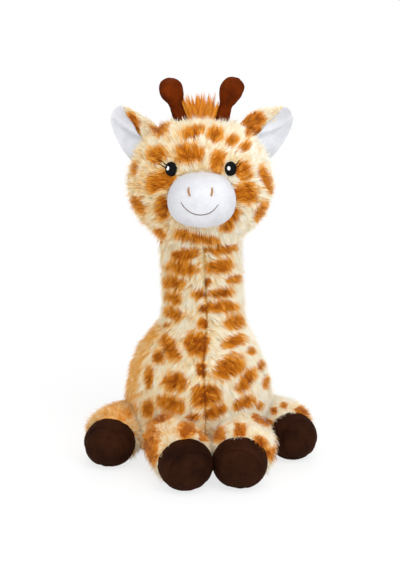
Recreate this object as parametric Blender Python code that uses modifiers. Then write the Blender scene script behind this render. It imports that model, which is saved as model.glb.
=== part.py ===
"""Plush giraffe, sitting: stuffed skins, hooves, horns, ears, muzzle, eyes, tuft and tail.

Metres, +Z up, the toy faces -Y and its own left is +X. The origin is on the floor,
under the middle of the toy. Each stuffed piece is a fabric skin round its own filling.
"""
import math

import bmesh
import bpy
from mathutils import Matrix, Vector

COLLECTION = "plush_giraffe"

# Fabrics and clearances
FUR = 0.0050
VELOUR = 0.0020
EAR_FUR = 0.0026
EAR_VELOUR = 0.0012
GAP = 0.0003
TURN_GAP = 0.0006
OVERRUN = 0.0200
MERGE = 0.00001

# Torso and the dome that the neck leans on
TORSO_WIDTH = 0.158
TORSO_DEPTH = 0.148
TORSO_HEIGHT = 0.163
TORSO_SINK = 0.0005
TORSO_SHARES = (
    # height, width, depth, step back
    (0.000, 0.60, 0.60, 0.050),
    (0.012, 0.82, 0.82, 0.050),
    (0.090, 0.96, 0.97, 0.050),
    (0.262, 1.03, 1.05, 0.035),
    (0.459, 0.99, 1.03, 0.015),
    (0.636, 0.90, 0.96, 0.000),
    (0.802, 0.74, 0.79, 0.000),
    (0.948, 0.54, 0.58, 0.000),
    (1.052, 0.26, 0.28, 0.000),
)
DOME_RADIUS = 0.068
DOME_SHARE = 0.583
NECK_LEAN = 8.0
LEAN_MARGIN = 1.8

# Neck
NECK_RISE = 0.146
NECK_WIDTH = 0.085
NECK_DEPTH = 0.081
NECK_SHARES = (
    # height between the two cut ends, width, depth
    (-0.05, 1.03, 1.04),
    (0.25, 1.01, 1.02),
    (0.65, 0.97, 0.98),
    (1.05, 1.02, 1.01),
)

# Head
HEAD_WIDTH = 0.152
HEAD_DEPTH = 0.112
HEAD_HEIGHT = 0.118
HEAD_STEP = 0.006
HEAD_YAW = -4.0
PIVOT_RISE = 0.051
CUP_RADIUS = 0.066
HEAD_SHARES = (
    # height, width, depth, step forward
    (-0.220, 0.48, 0.64, 0.000),
    (-0.010, 0.60, 0.72, 0.000),
    (0.110, 0.88, 0.88, 0.010),
    (0.290, 1.02, 1.00, 0.020),
    (0.500, 1.01, 1.03, 0.010),
    (0.720, 0.89, 0.96, 0.000),
    (0.910, 0.62, 0.72, 0.000),
    (1.010, 0.27, 0.35, 0.000),
)

# What the head carries: places as shares of its half width, half depth and height
MUZZLE_SHARES = (0.0, 1.0, 0.390)
EYE_SHARES = (0.388, 0.886, 0.636)
HORN_PLACE_SHARES = (0.276, 0.036, 0.924)
TUFT_PLACE_SHARES = (0.0, -0.107, 0.890)
EAR_PLACE_SHARES = (0.770, -0.179, 0.797)

# Muzzle
MUZZLE_WIDTH = 0.069
MUZZLE_HEIGHT = 0.055
MUZZLE_DEPTH = 0.066
MUZZLE_PROUD = 0.034

# Eyes
EYE_WIDTH = 0.0116
EYE_HEIGHT = 0.0144
EYE_THICKNESS = 0.0024
EYE_TURN = 18.0
EYE_TILT = 17.0

# Horns
HORN_LENGTH = 0.0391
HORN_LEAN = 13.75
KNOB_RADIUS = 0.0124
STEM_RADIUS = 0.0082
HORN_ROOT = 0.010
KNOB_TURN = 108.0
HORN_SHARES = (
    # place along the horn from base to knob centre, radius in stem radii
    (0.72, 1.02),
    (0.60, 0.84),
    (0.42, 0.80),
    (0.20, 0.89),
    (0.00, 1.00),
)

# Hair tuft
TUFT_WIDTH = 0.030
TUFT_DEPTH = 0.022
TUFT_HEIGHT = 0.040
TUFT_SHARES = (
    # height, radius
    (0.97, 0.42),
    (0.80, 0.84),
    (0.52, 1.00),
    (0.15, 0.94),
)

# Ears
EAR_WIDTH = 0.0500
EAR_LENGTH = 0.0410
EAR_CUP = 0.0090
EAR_ROOT_LEAN = 26.0
EAR_FACE_OUT = 14.0
EAR_LINING_MARGIN = 0.0016
EAR_SEAT_GAP = 0.0006
EAR_LINING_SEAT = 0.0007
EAR_SHARES = (
    # place from root to tip, front edge, back edge along the root line
    (-0.24, 0.06, 0.96),
    (0.00, 0.02, 1.00),
    (0.25, 0.10, 1.05),
    (0.50, 0.23, 1.07),
    (0.72, 0.38, 1.05),
    (0.88, 0.53, 0.99),
    (1.00, 0.68, 0.86),
)
EAR_COLUMNS = 6

# Hooves, shared by the four legs
HOOF_RADIUS = 0.0264
HOOF_LENGTH = 0.0330
SOLE_RADIUS = 0.0205
SOLE_DOME = 0.0050
HOOF_PRESS = 0.0005
HOOF_SHARES = (
    # place from the fur seam to the sole, radius in hoof radii
    (0.00, 0.955),
    (0.25, 0.995),
    (0.58, 0.995),
    (0.84, 0.915),
)

# Front legs, rooted at shares of the torso's half width and half depth
FRONT_ROOT_SHARES = (0.506, 0.811)
FRONT_ROOT_HEIGHT = 0.036
FRONT_BALL = 0.0240
FRONT_REACH = 0.0520
HOOF_SPACE = 0.0012
FRONT_LIFT = 24.0
LIFT_MARGIN = 11.0
FRONT_SHARES = (
    # place from the root to the fur seam, radius in ball radii
    (0.00, 1.000),
    (0.28, 1.040),
    (0.55, 1.130),
    (0.80, 1.160),
    (1.00, 1.080),
)

# Hind legs
HIND_ROOT_SHARES = (0.962, -0.068)
HIND_BALL = 0.0290
HIND_REACH = 0.0560
HIND_TOE_OUT = 0.0200
HIND_SPLAY = 20.0
HIND_SHARES = (
    (0.00, 1.000),
    (0.35, 0.995),
    (0.70, 0.965),
    (1.00, 0.895),
)

# Tail
TAIL_ROOT_HEIGHT = 0.045
TAIL_BALL = 0.0070
TAIL_RADIUS = 0.0050
TAIL_LENGTH = 0.040
TAIL_DROP = 36.0
TAIL_TUFT_RADIUS = 0.0095
TAIL_TUFT_LENGTH = 0.028
TAIL_SEAT = 0.0078
TAIL_TUFT_SHARES = (
    # place along the tuft, radius
    (0.90, 0.30),
    (0.55, 0.92),
    (0.25, 1.00),
    (0.00, 0.55),
)

# Facets
CAGE_SIDES = 12
CUP_STEPS = 36
DOME_STEPS = 24
DOME_PARTS = 7
SOCKET_STEPS = 24
LIMB_STEPS = 16
MUZZLE_STEPS = 18
SMALL_STEPS = 12
CURVE_STEPS = 2
ARC_PARTS = 4
SOLE_PARTS = 2

SIDES = (("left", 1), ("right", -1))


def clear_scene():
    """Remove what the file opened with."""
    for item in list(bpy.data.objects):
        bpy.data.objects.remove(item, do_unlink=True)


def new_collection(name):
    made = bpy.data.collections.new(name)
    bpy.context.scene.collection.children.link(made)
    return made


def material(name, colour, roughness):
    """One cloth finish: a colour and how matt it is."""
    made = bpy.data.materials.new(name)
    made.use_nodes = True
    shader = made.node_tree.nodes["Principled BSDF"]
    shader.inputs["Base Color"].default_value = (*colour, 1.0)
    shader.inputs["Roughness"].default_value = roughness
    shader.inputs["Metallic"].default_value = 0.0
    made.diffuse_color = (*colour, 1.0)
    return made


def empty(name, matrix, parent=None):
    """A frame that pieces hang on, such as a joint."""
    made = bpy.data.objects.new(name, None)
    parts.objects.link(made)
    made.parent = parent
    made.matrix_parent_inverse = Matrix.Identity(4)
    made.matrix_local = matrix
    return made


def new_object(name, mesh, parent, cutter=False):
    made = bpy.data.objects.new(name, mesh)
    if cutter:
        cutters.objects.link(made)
        made.hide_render = True
        made.display_type = "WIRE"
    else:
        parts.objects.link(made)
    made.parent = parent
    return made


def finish_piece(piece, cloth):
    """Give a piece its cloth and smooth shading."""
    piece.data.materials.append(cloth)
    piece.data.shade_smooth()
    return piece


def cut(piece, *tools, solver="EXACT"):
    """Take each tool's volume away from the piece."""
    for tool in tools:
        step = piece.modifiers.new("cut_" + tool.name, "BOOLEAN")
        step.operation = "DIFFERENCE"
        step.solver = solver
        step.object = tool
    return piece


def cage(name, rings, parent, cutter=False):
    """A soft form: elliptical rings from bottom to top, capped and rounded by subdivision.

    Each ring is (centre, half width, half depth). The cage is swollen so that the rounded
    form, and not the cage, has the half widths and depths given.
    """
    swell = 1 / (2 / 3 + math.cos(math.tau / CAGE_SIDES) / 3)
    bm = bmesh.new()
    loops = []
    for centre, half_width, half_depth in rings:
        spot = Matrix.Translation(centre) @ Matrix.Diagonal((half_width, half_depth, 1, 1))
        ring = bmesh.ops.create_circle(bm, segments=CAGE_SIDES, radius=swell, matrix=spot)
        loops.append(ring["verts"])
    bm.faces.new(reversed(loops[0]))
    bm.faces.new(loops[-1])
    for low, high in zip(loops, loops[1:]):
        for k in range(CAGE_SIDES):
            after = (k + 1) % CAGE_SIDES
            bm.faces.new((low[k], low[after], high[after], high[k]))
    bmesh.ops.recalc_face_normals(bm, faces=bm.faces)
    mesh = bpy.data.meshes.new(name)
    bm.to_mesh(mesh)
    bm.free()
    made = new_object(name, mesh, parent, cutter)
    rounding = made.modifiers.new("rounding", "SUBSURF")
    rounding.levels = 1
    rounding.render_levels = 1
    return made


def turned(name, profile, steps, parent, cutter=False, closed=False):
    """Turn a profile of (radius, height) about the frame's Z axis."""
    mesh = bpy.data.meshes.new(name)
    edges = [(k, k + 1) for k in range(len(profile) - 1)]
    if closed:
        edges.append((len(profile) - 1, 0))
    mesh.from_pydata([(radius, 0, height) for radius, height in profile], edges, [])
    made = new_object(name, mesh, parent, cutter)
    screw = made.modifiers.new("turn", "SCREW")
    screw.axis = "Z"
    screw.steps = steps
    screw.render_steps = steps
    screw.use_merge_vertices = True
    screw.merge_threshold = MERGE
    return made


def sphere(name, radius, centre, steps, parent, cutter=False, scale=(1, 1, 1)):
    """A ball, or an ellipsoid where a scale is given."""
    bm = bmesh.new()
    spot = Matrix.Translation(centre) @ Matrix.Diagonal((*scale, 1))
    bmesh.ops.create_uvsphere(
        bm, u_segments=steps, v_segments=steps // 2, radius=radius, matrix=spot)
    mesh = bpy.data.meshes.new(name)
    bm.to_mesh(mesh)
    bm.free()
    return new_object(name, mesh, parent, cutter)


def box(name, low, high, parent=None):
    """A block between two corners, always a cutter."""
    low, high = Vector(low), Vector(high)
    bm = bmesh.new()
    spot = Matrix.Translation((low + high) / 2) @ Matrix.Diagonal((*(high - low), 1))
    bmesh.ops.create_cube(bm, size=1, matrix=spot)
    mesh = bpy.data.meshes.new(name)
    bm.to_mesh(mesh)
    bm.free()
    return new_object(name, mesh, parent, cutter=True)


def smooth_line(points):
    """A smooth line through hand-chosen points, with a few places between each two."""
    line = []
    count = len(points)
    for k in range(count - 1):
        before = Vector(points[max(k - 1, 0)])
        start = Vector(points[k])
        end = Vector(points[k + 1])
        after = Vector(points[min(k + 2, count - 1)])
        for step in range(CURVE_STEPS):
            t = step / CURVE_STEPS
            line.append(tuple(
                (2 * start + (end - before) * t
                 + (2 * before - 5 * start + 4 * end - after) * t ** 2
                 + (3 * start - before - 3 * end + after) * t ** 3) / 2))
    line.append(tuple(points[-1]))
    return line


def arc(radius, first, last, count, height=0.0):
    """Points (radius, height) on a circle about the axis, angles in degrees from +Z."""
    turns = [math.radians(first + (last - first) * k / count) for k in range(count + 1)]
    return [(max(radius * math.sin(a), 0.0), height + radius * math.cos(a)) for a in turns]


def along(point, target):
    """A frame at a point whose Z axis runs towards a target."""
    way = Vector(target) - Vector(point)
    turn = way.to_track_quat("Z", "Y").to_matrix().to_4x4()
    return Matrix.Translation(point) @ turn


# Torso and neck


def dome_height():
    """Height of the centre of the dome that the neck leans on."""
    return DOME_SHARE * TORSO_HEIGHT


def head_base():
    return dome_height() + NECK_RISE


def pivot_height():
    """Height of the point that the head turns about."""
    return head_base() + PIVOT_RISE


def torso_rings(inset):
    height = TORSO_HEIGHT + TORSO_SINK - 2 * inset
    rings = []
    for up, wide, deep, back in TORSO_SHARES:
        centre = (0, back * TORSO_DEPTH, inset - TORSO_SINK + up * height)
        half_width = wide * TORSO_WIDTH / 2 - inset
        half_depth = deep * TORSO_DEPTH / 2 - inset
        rings.append((centre, half_width, half_depth))
    return rings


def neck_rings(inset):
    low = dome_height() + DOME_RADIUS / 2
    high = pivot_height() - CUP_RADIUS / 2
    rings = []
    for up, wide, deep in NECK_SHARES:
        centre = (0, 0, low + up * (high - low))
        rings.append((centre, wide * NECK_WIDTH / 2 - inset, deep * NECK_DEPTH / 2 - inset))
    return rings


def dome_cutter():
    """Takes the torso off above the dome, as wide as the leaning neck sweeps."""
    rim = math.degrees(math.asin(NECK_WIDTH / 2 / DOME_RADIUS)) + NECK_LEAN + LEAN_MARGIN
    reach = DOME_RADIUS + OVERRUN
    edge = arc(reach, rim, rim, 1)[0]
    top = edge[1] + 2 * OVERRUN
    dome = arc(DOME_RADIUS, rim, 0, DOME_PARTS)
    profile = [(0, top), (edge[0], top), edge, *dome]
    return turned("dome_cutter", profile, DOME_STEPS, neck_pivot, cutter=True)


def build_torso(sockets):
    """Skin and filling, cut by the floor, the neck's dome and the sockets of the limbs."""
    floor = box("floor", (-TORSO_WIDTH, -TORSO_WIDTH, -OVERRUN), (TORSO_WIDTH, TORSO_WIDTH, 0))
    inner_floor = box("inner_floor", (-TORSO_WIDTH, -TORSO_WIDTH, -OVERRUN),
                      (TORSO_WIDTH, TORSO_WIDTH, FUR))
    stuffing_floor = box("stuffing_floor", (-TORSO_WIDTH, -TORSO_WIDTH, -OVERRUN),
                         (TORSO_WIDTH, TORSO_WIDTH, FUR + GAP))
    dome = dome_cutter()
    hollow = cut(cage("torso_hollow", torso_rings(FUR), toy, cutter=True), inner_floor)
    tools = (dome, *sockets.values(), tail_socket())

    skin = cage("torso_skin", torso_rings(0), toy)
    finish_piece(cut(skin, hollow, floor, *tools), fur_cloth)
    stuffing = cage("torso_stuffing", torso_rings(FUR + GAP), toy)
    finish_piece(cut(stuffing, stuffing_floor, *tools), fill_cloth)
    return floor


def build_neck():
    dome_room = sphere("dome_room", DOME_RADIUS + TURN_GAP, (0, 0, 0), CUP_STEPS,
                       neck_pivot, cutter=True)
    head_room = sphere("head_room", CUP_RADIUS + TURN_GAP, (0, 0, 0), CUP_STEPS,
                       head_pivot, cutter=True)
    hollow = cage("neck_hollow", neck_rings(FUR), toy, cutter=True)
    skin = cage("neck_skin", neck_rings(0), toy)
    finish_piece(cut(skin, hollow, dome_room, head_room), fur_cloth)
    stuffing = cage("neck_stuffing", neck_rings(FUR + GAP), toy)
    finish_piece(cut(stuffing, dome_room, head_room), fill_cloth)


# Head


def head_rings(inset):
    height = HEAD_HEIGHT - 2 * inset
    low = inset - PIVOT_RISE
    rings = []
    for up, wide, deep, forward in HEAD_SHARES:
        centre = (0, -HEAD_STEP - forward * HEAD_DEPTH, low + up * height)
        half_width = wide * HEAD_WIDTH / 2 - inset
        half_depth = deep * HEAD_DEPTH / 2 - inset
        rings.append((centre, half_width, half_depth))
    return rings


def head_place(across, forward, up):
    """A point in the head's frame, given as shares of its half width, half depth and height."""
    return Vector((across * HEAD_WIDTH / 2, -HEAD_STEP - forward * HEAD_DEPTH / 2,
                   up * HEAD_HEIGHT - PIVOT_RISE))


def neck_room():
    """The space in the head's underside that the neck fills: round, so the head can turn."""
    radius = NECK_WIDTH / 2 + 2 * TURN_GAP
    rim = 180 - math.degrees(math.asin(radius / CUP_RADIUS))
    cup = arc(CUP_RADIUS, 180, rim, DOME_PARTS)
    low = -CUP_RADIUS - OVERRUN
    profile = [*cup, (radius, low), (0, low)]
    return turned("neck_room", profile, DOME_STEPS, head_pivot, cutter=True)


def build_head():
    room = neck_room()
    hollow = cage("head_hollow", head_rings(FUR), head_pivot, cutter=True)
    skin = cage("head_skin", head_rings(0), head_pivot)
    finish_piece(cut(skin, hollow, room), fur_cloth)
    stuffing = cage("head_stuffing", head_rings(FUR + GAP), head_pivot)
    finish_piece(cut(stuffing, room), fill_cloth)


def muzzle_ball(name, inset, cutter=False):
    half_depth = MUZZLE_DEPTH / 2
    centre = head_place(*MUZZLE_SHARES) + Vector((0, half_depth - MUZZLE_PROUD, 0))
    halves = (MUZZLE_WIDTH / 2 - inset, half_depth - inset, MUZZLE_HEIGHT / 2 - inset)
    return sphere(name, 1, centre, MUZZLE_STEPS, head_pivot, cutter, scale=halves)


def build_muzzle(head_clear):
    hollow = muzzle_ball("muzzle_hollow", VELOUR, cutter=True)
    finish_piece(cut(muzzle_ball("muzzle_skin", 0), hollow, head_clear), white_cloth)
    finish_piece(cut(muzzle_ball("muzzle_stuffing", VELOUR + GAP), head_clear), fill_cloth)


def build_eyes(head_clear):
    across, forward, up = EYE_SHARES
    for side_name, side in SIDES:
        centre = head_place(side * across, forward, up)
        turn = Matrix.Rotation(math.radians(side * EYE_TURN), 4, "Z")
        tilt = Matrix.Rotation(math.radians(-EYE_TILT), 4, "X")
        stand = empty("eye_frame_" + side_name, Matrix.Translation(centre) @ turn @ tilt,
                      head_pivot)
        halves = (EYE_WIDTH / 2, EYE_THICKNESS, EYE_HEIGHT / 2)
        eye = sphere("eye_" + side_name, 1, (0, 0, 0), SMALL_STEPS, stand, scale=halves)
        finish_piece(cut(eye, head_clear), black_cloth)


def horn_profile(inset):
    """Down the horn: round knob, drawn-in stem, base inside the head."""
    knob = KNOB_RADIUS - inset
    stem = [(wide * STEM_RADIUS - inset, up * HORN_LENGTH) for up, wide in HORN_SHARES]
    top = arc(knob, 0, KNOB_TURN, ARC_PARTS, height=HORN_LENGTH)
    return [*top, *stem, (stem[-1][0], -HORN_ROOT)]


def build_horns(head_clear):
    across, forward, up = HORN_PLACE_SHARES
    for side_name, side in SIDES:
        base = Matrix.Translation(head_place(side * across, forward, up))
        lean = Matrix.Rotation(math.radians(side * HORN_LEAN), 4, "Y")
        stand = empty("horn_frame_" + side_name, base @ lean, head_pivot)
        outer = horn_profile(0)
        inner = horn_profile(VELOUR)
        skin = turned("horn_" + side_name + "_sleeve", [*outer, *reversed(inner)],
                      SMALL_STEPS, stand)
        finish_piece(cut(skin, head_clear), rust_cloth)
        core = [*horn_profile(VELOUR + GAP), (0, -HORN_ROOT)]
        stuffing = turned("horn_" + side_name + "_stuffing", core, SMALL_STEPS, stand)
        finish_piece(cut(stuffing, head_clear), fill_cloth)


def build_tuft(head_clear):
    line = [(wide * TUFT_WIDTH / 2, up * TUFT_HEIGHT) for up, wide in TUFT_SHARES]
    profile = [(0, TUFT_HEIGHT), *smooth_line(line), (line[-1][0], 0), (0, 0)]
    stand = empty("tuft_frame", Matrix.Translation(head_place(*TUFT_PLACE_SHARES))
                  @ Matrix.Diagonal((1, TUFT_DEPTH / TUFT_WIDTH, 1, 1)), head_pivot)
    tuft = turned("hair_tuft", profile, SMALL_STEPS, stand)
    finish_piece(cut(tuft, head_clear), tuft_cloth)


# Ears


def ear_sheet(name, side, margin, parent):
    """The leaf of an ear: root line along local X, tip along local Z, cupped towards +Y."""
    bm = bmesh.new()
    rows = []
    for up, front, back in EAR_SHARES:
        up_place = up * (EAR_LENGTH - margin)
        low = front * EAR_WIDTH + margin
        high = back * EAR_WIDTH - margin
        row = []
        for k in range(EAR_COLUMNS + 1):
            share = k / EAR_COLUMNS
            across = low + share * (high - low) - EAR_WIDTH / 2
            hollow = EAR_CUP * (1 - (2 * share - 1) ** 2) * (1 - up * up) * max(up, 0) * 2
            row.append(bm.verts.new((-side * across, hollow, up_place)))
        rows.append(row)
    for low_row, high_row in zip(rows, rows[1:]):
        for k in range(EAR_COLUMNS):
            corners = (low_row[k], low_row[k + 1], high_row[k + 1], high_row[k])
            bm.faces.new(corners if side > 0 else reversed(corners))
    mesh = bpy.data.meshes.new(name)
    bm.to_mesh(mesh)
    bm.free()
    return new_object(name, mesh, parent)


def thicken(piece, thickness, offset):
    step = piece.modifiers.new("thickness", "SOLIDIFY")
    step.thickness = thickness
    step.offset = offset
    step.use_even_offset = True
    return piece


def build_ears(ear_clear):
    """Each ear hangs on its root line, which is the axis that it flaps about."""
    across, forward, up = EAR_PLACE_SHARES
    for side_name, side in SIDES:
        root = head_place(side * across, forward, up)
        lean = Matrix.Rotation(math.radians(side * (90 - EAR_ROOT_LEAN)), 4, "Y")
        face = Matrix.Rotation(math.radians(side * EAR_FACE_OUT), 4, "Z")
        pivot = empty("ear_pivot_" + side_name,
                      Matrix.Translation(root) @ face @ lean, head_pivot)
        outer = ear_sheet("ear_" + side_name + "_outer", side, 0, pivot)
        finish_piece(cut(thicken(outer, EAR_FUR, 1), ear_clear), fur_cloth)
        lining = ear_sheet("ear_" + side_name + "_lining", side, EAR_LINING_MARGIN, pivot)
        lining.location = (0, -EAR_LINING_SEAT, 0)
        finish_piece(cut(thicken(lining, EAR_VELOUR, -1), ear_clear), white_cloth)


# Legs


class Leg:
    """One leg's frame and sizes: its ball root, its fur and its hoof, along local Z."""

    def __init__(self, side, front):
        self.front = front
        if front:
            self.ball = FRONT_BALL
            self.shares = FRONT_SHARES
            across, forward = FRONT_ROOT_SHARES
            height = FRONT_ROOT_HEIGHT
            reach = FRONT_REACH
        else:
            self.ball = HIND_BALL
            self.shares = HIND_SHARES
            across, forward = HIND_ROOT_SHARES
            height = HIND_BALL - HOOF_PRESS
            reach = HIND_REACH
        self.root = Vector((side * across * TORSO_WIDTH / 2, -forward * TORSO_DEPTH / 2, height))
        toe_x = HOOF_RADIUS + HOOF_SPACE if front else abs(self.root.x) + HIND_TOE_OUT
        self.hoof = Vector((side * toe_x, self.root.y - reach, HOOF_RADIUS - HOOF_PRESS))
        self.seam = (self.hoof - self.root).length - HOOF_LENGTH / 2
        self.toe = self.seam + HOOF_LENGTH

    def frame(self):
        return along(self.root, self.hoof)

    def fur_line(self, inset):
        """From the hoof seam down to the ball's pole."""
        line = [(wide * self.ball - inset, up * self.seam) for up, wide in self.shares]
        return [*reversed(line), *arc(self.ball - inset, 90, 180, ARC_PARTS)[1:]]

    def hoof_line(self, inset):
        """From the sole's edge down to the fur seam."""
        line = [(wide * HOOF_RADIUS - inset, self.seam + up * HOOF_LENGTH)
                for up, wide in HOOF_SHARES]
        line.append((SOLE_RADIUS - inset, self.toe))
        return list(reversed(line))

    def sole_line(self, lift, radius):
        """From the middle of the domed sole out to its edge."""
        line = []
        for k in range(SOLE_PARTS + 1):
            share = k / SOLE_PARTS
            line.append((share * radius, self.toe + lift + SOLE_DOME * (1 - share ** 2)))
        return line


def leg_sockets():
    """Round sockets for the four roots. Those in front flare for the lifting leg."""
    made = {}
    for name, leg in legs.items():
        radius = leg.ball + TURN_GAP
        if leg.front:
            flare = FRONT_LIFT / 2 + LIFT_MARGIN
            reach = 2 * leg.ball
            tilt = Matrix.Rotation(math.radians(FRONT_LIFT / 2), 4, "X")
            world = Matrix.Translation(leg.root) @ tilt.inverted() \
                @ leg.frame().to_quaternion().to_matrix().to_4x4()
            stand = empty(name + "_socket_frame", world, toy)
            slope = math.radians(flare)
            wide = radius / math.cos(slope) + reach * math.tan(slope)
            back = arc(radius, 90 + flare, 180, ARC_PARTS)
            profile = [(0, reach), (wide, reach), *back]
            socket = turned(name + "_socket", profile, SOCKET_STEPS, stand, cutter=True)
        else:
            socket = sphere(name + "_socket", radius + TURN_GAP, (0, 0, 0), SOCKET_STEPS,
                            leg_pivots[name], cutter=True)
        made[name] = socket
    return made


def build_leg(name, leg, floor, torso_clear):
    """Fur skin, filling, hoof band and sole, all turned about the leg's own axis."""
    pivot = leg_pivots[name]
    tools = [floor]
    if not leg.front:
        tools.append(torso_clear)
    outer = leg.fur_line(0)
    inner = leg.fur_line(FUR)
    skin = turned(name + "_skin", [*reversed(inner), *outer], LIMB_STEPS, pivot)
    finish_piece(cut(skin, *tools, solver="MANIFOLD"), fur_cloth)

    band_outer = leg.hoof_line(0)
    band_inner = leg.hoof_line(VELOUR)
    band_outer[-1] = (band_outer[-1][0], leg.seam + GAP)
    band_inner[-1] = (band_inner[-1][0], leg.seam + GAP)
    band = turned(name + "_hoof_band", [*band_outer, *reversed(band_inner)], LIMB_STEPS,
                  pivot, closed=True)
    finish_piece(cut(band, floor), dark_cloth)

    dome = leg.sole_line(GAP + VELOUR, SOLE_RADIUS)
    under = leg.sole_line(GAP, SOLE_RADIUS)
    sole = turned(name + "_hoof_sole", [*dome, *reversed(under)], LIMB_STEPS, pivot)
    finish_piece(cut(sole, floor), dark_cloth)

    inset = VELOUR + GAP
    front = leg.sole_line(-inset, SOLE_RADIUS - inset)
    hoof_part = leg.hoof_line(inset)[1:]
    fur_part = leg.fur_line(FUR + GAP)
    step = (fur_part[0][0], hoof_part[-1][1])
    core = [*front, *hoof_part, step, *fur_part[1:]]
    stuffing = turned(name + "_stuffing", core, LIMB_STEPS, pivot)
    finish_piece(cut(stuffing, *tools[1:], solver="MANIFOLD"), fill_cloth)


def build_legs(floor):
    """The hind legs are trimmed to the torso, apart from their roots in its sockets."""
    clear = cage("torso_clear", torso_rings(-GAP), toy, cutter=True)
    for name, leg in legs.items():
        if not leg.front:
            cut(clear, sphere(name + "_root_room", leg.ball + TURN_GAP, (0, 0, 0),
                              SOCKET_STEPS, leg_pivots[name], cutter=True))
    for name, leg in legs.items():
        build_leg(name, leg, floor, clear)


# Tail


def tail_root():
    """The place on the rump where the tail is sewn."""
    return Vector((0, TORSO_DEPTH / 2 + TAIL_SEAT, TAIL_ROOT_HEIGHT))


def tail_socket():
    return sphere("tail_socket", TAIL_BALL + TURN_GAP, (0, 0, 0), SMALL_STEPS, tail_pivot,
                  cutter=True)


def build_tail():
    """A short fabric tube with a ball root, and a tuft on its end."""
    start = math.degrees(math.asin(TAIL_RADIUS / TAIL_BALL))
    root = arc(TAIL_BALL, start, 180, ARC_PARTS)
    profile = [(0, TAIL_LENGTH), (TAIL_RADIUS, TAIL_LENGTH), *root]
    finish_piece(turned("tail", profile, SMALL_STEPS, tail_pivot), fur_cloth)
    line = [(wide * TAIL_TUFT_RADIUS, TAIL_LENGTH + GAP + up * TAIL_TUFT_LENGTH)
            for up, wide in TAIL_TUFT_SHARES]
    low = line[-1][1]
    profile = [(0, low + TAIL_TUFT_LENGTH), *smooth_line(line), (0, low)]
    finish_piece(turned("tail_tuft", profile, SMALL_STEPS, tail_pivot), tuft_cloth)


clear_scene()
parts = new_collection(COLLECTION)
cutters = new_collection("cutters")

fur_cloth = material("fur", (0.87, 0.72, 0.50), 0.95)
white_cloth = material("white_velour", (0.86, 0.87, 0.90), 0.85)
rust_cloth = material("rust_velour", (0.165, 0.036, 0.006), 0.80)
dark_cloth = material("dark_velour", (0.028, 0.013, 0.009), 0.80)
tuft_cloth = material("long_pile", (0.68, 0.27, 0.030), 0.90)
black_cloth = material("black_thread", (0.004, 0.004, 0.005), 0.30)
fill_cloth = material("filling", (0.90, 0.90, 0.88), 1.00)

toy = empty("toy", Matrix.Identity(4))
neck_pivot = empty("neck_pivot", Matrix.Translation((0, 0, dome_height())), toy)
head_pivot = empty("head_pivot", Matrix.Translation((0, 0, pivot_height()))
                   @ Matrix.Rotation(math.radians(HEAD_YAW), 4, "Z"), toy)
tail_pivot = empty("tail_pivot", Matrix.Translation(tail_root())
                   @ Matrix.Rotation(math.radians(-90 - TAIL_DROP), 4, "X"), toy)
legs = {}
for side_label, side_sign in SIDES:
    legs["front_leg_" + side_label] = Leg(side_sign, True)
    legs["hind_leg_" + side_label] = Leg(side_sign, False)
leg_pivots = {name: empty(name + "_pivot", leg.frame(), toy) for name, leg in legs.items()}
bpy.context.view_layer.update()

floor_block = build_torso(leg_sockets())
build_neck()
build_head()
head_seat = cage("head_clear", head_rings(-GAP), head_pivot, cutter=True)
ear_seat = cage("ear_clear", head_rings(-EAR_SEAT_GAP), head_pivot, cutter=True)
build_muzzle(head_seat)
build_eyes(head_seat)
build_horns(head_seat)
build_tuft(head_seat)
build_ears(ear_seat)
build_legs(floor_block)
build_tail()
bpy.context.view_layer.update()
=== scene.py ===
"""Plush giraffe: pile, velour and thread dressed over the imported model."""

import math

import bpy
import numpy as np
from mathutils import Matrix, Vector
from mathutils.bvhtree import BVHTree
from mathutils.kdtree import KDTree


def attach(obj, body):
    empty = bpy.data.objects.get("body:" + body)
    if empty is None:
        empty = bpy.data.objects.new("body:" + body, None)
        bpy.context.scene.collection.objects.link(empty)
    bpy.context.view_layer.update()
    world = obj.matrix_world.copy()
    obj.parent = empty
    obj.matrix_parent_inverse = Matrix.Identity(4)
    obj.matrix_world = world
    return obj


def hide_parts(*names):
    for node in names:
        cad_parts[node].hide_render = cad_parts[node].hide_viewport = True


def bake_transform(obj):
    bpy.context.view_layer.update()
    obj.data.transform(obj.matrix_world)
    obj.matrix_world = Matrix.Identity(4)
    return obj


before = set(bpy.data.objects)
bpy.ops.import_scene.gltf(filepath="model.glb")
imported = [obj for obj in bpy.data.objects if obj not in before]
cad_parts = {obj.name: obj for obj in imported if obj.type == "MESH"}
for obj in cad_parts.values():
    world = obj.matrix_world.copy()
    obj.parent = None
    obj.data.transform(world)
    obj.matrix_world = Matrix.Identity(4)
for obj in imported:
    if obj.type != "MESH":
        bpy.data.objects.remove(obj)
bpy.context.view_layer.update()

MM = 0.001
SIDES = (("left", 1), ("right", -1))

# The photograph's camera: a pixel is (column, row) in a frame of 400 by 570
FRAME_WIDTH, FRAME_HEIGHT = 400, 570
FOCAL_PIXELS = 1068.7
AXIS_COLUMN = 200.4
CAMERA_TURN = math.radians(-5.16)
CAMERA_REACH = 1.1
CAMERA_HEIGHT = 0.484
AIM_HEIGHT = 0.181

HEAD_TURN = math.radians(-4.0)
HEAD_PIVOT = Vector((0, 0, 0.29203))
DOME_CENTRE = 0.095


# The camera


def camera_axes():
    """Place, forward, right and up of the camera."""
    away = np.array([math.sin(CAMERA_TURN), -math.cos(CAMERA_TURN), 0.0])
    place = away * CAMERA_REACH + np.array([0, 0, CAMERA_HEIGHT])
    forward = np.array([0, 0, AIM_HEIGHT]) - place
    forward /= np.linalg.norm(forward)
    right = np.cross(forward, [0, 0, 1.0])
    right /= np.linalg.norm(right)
    return place, forward, right, np.cross(right, forward)


EYE_POINT, LOOK, RIGHT, UP = camera_axes()


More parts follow.
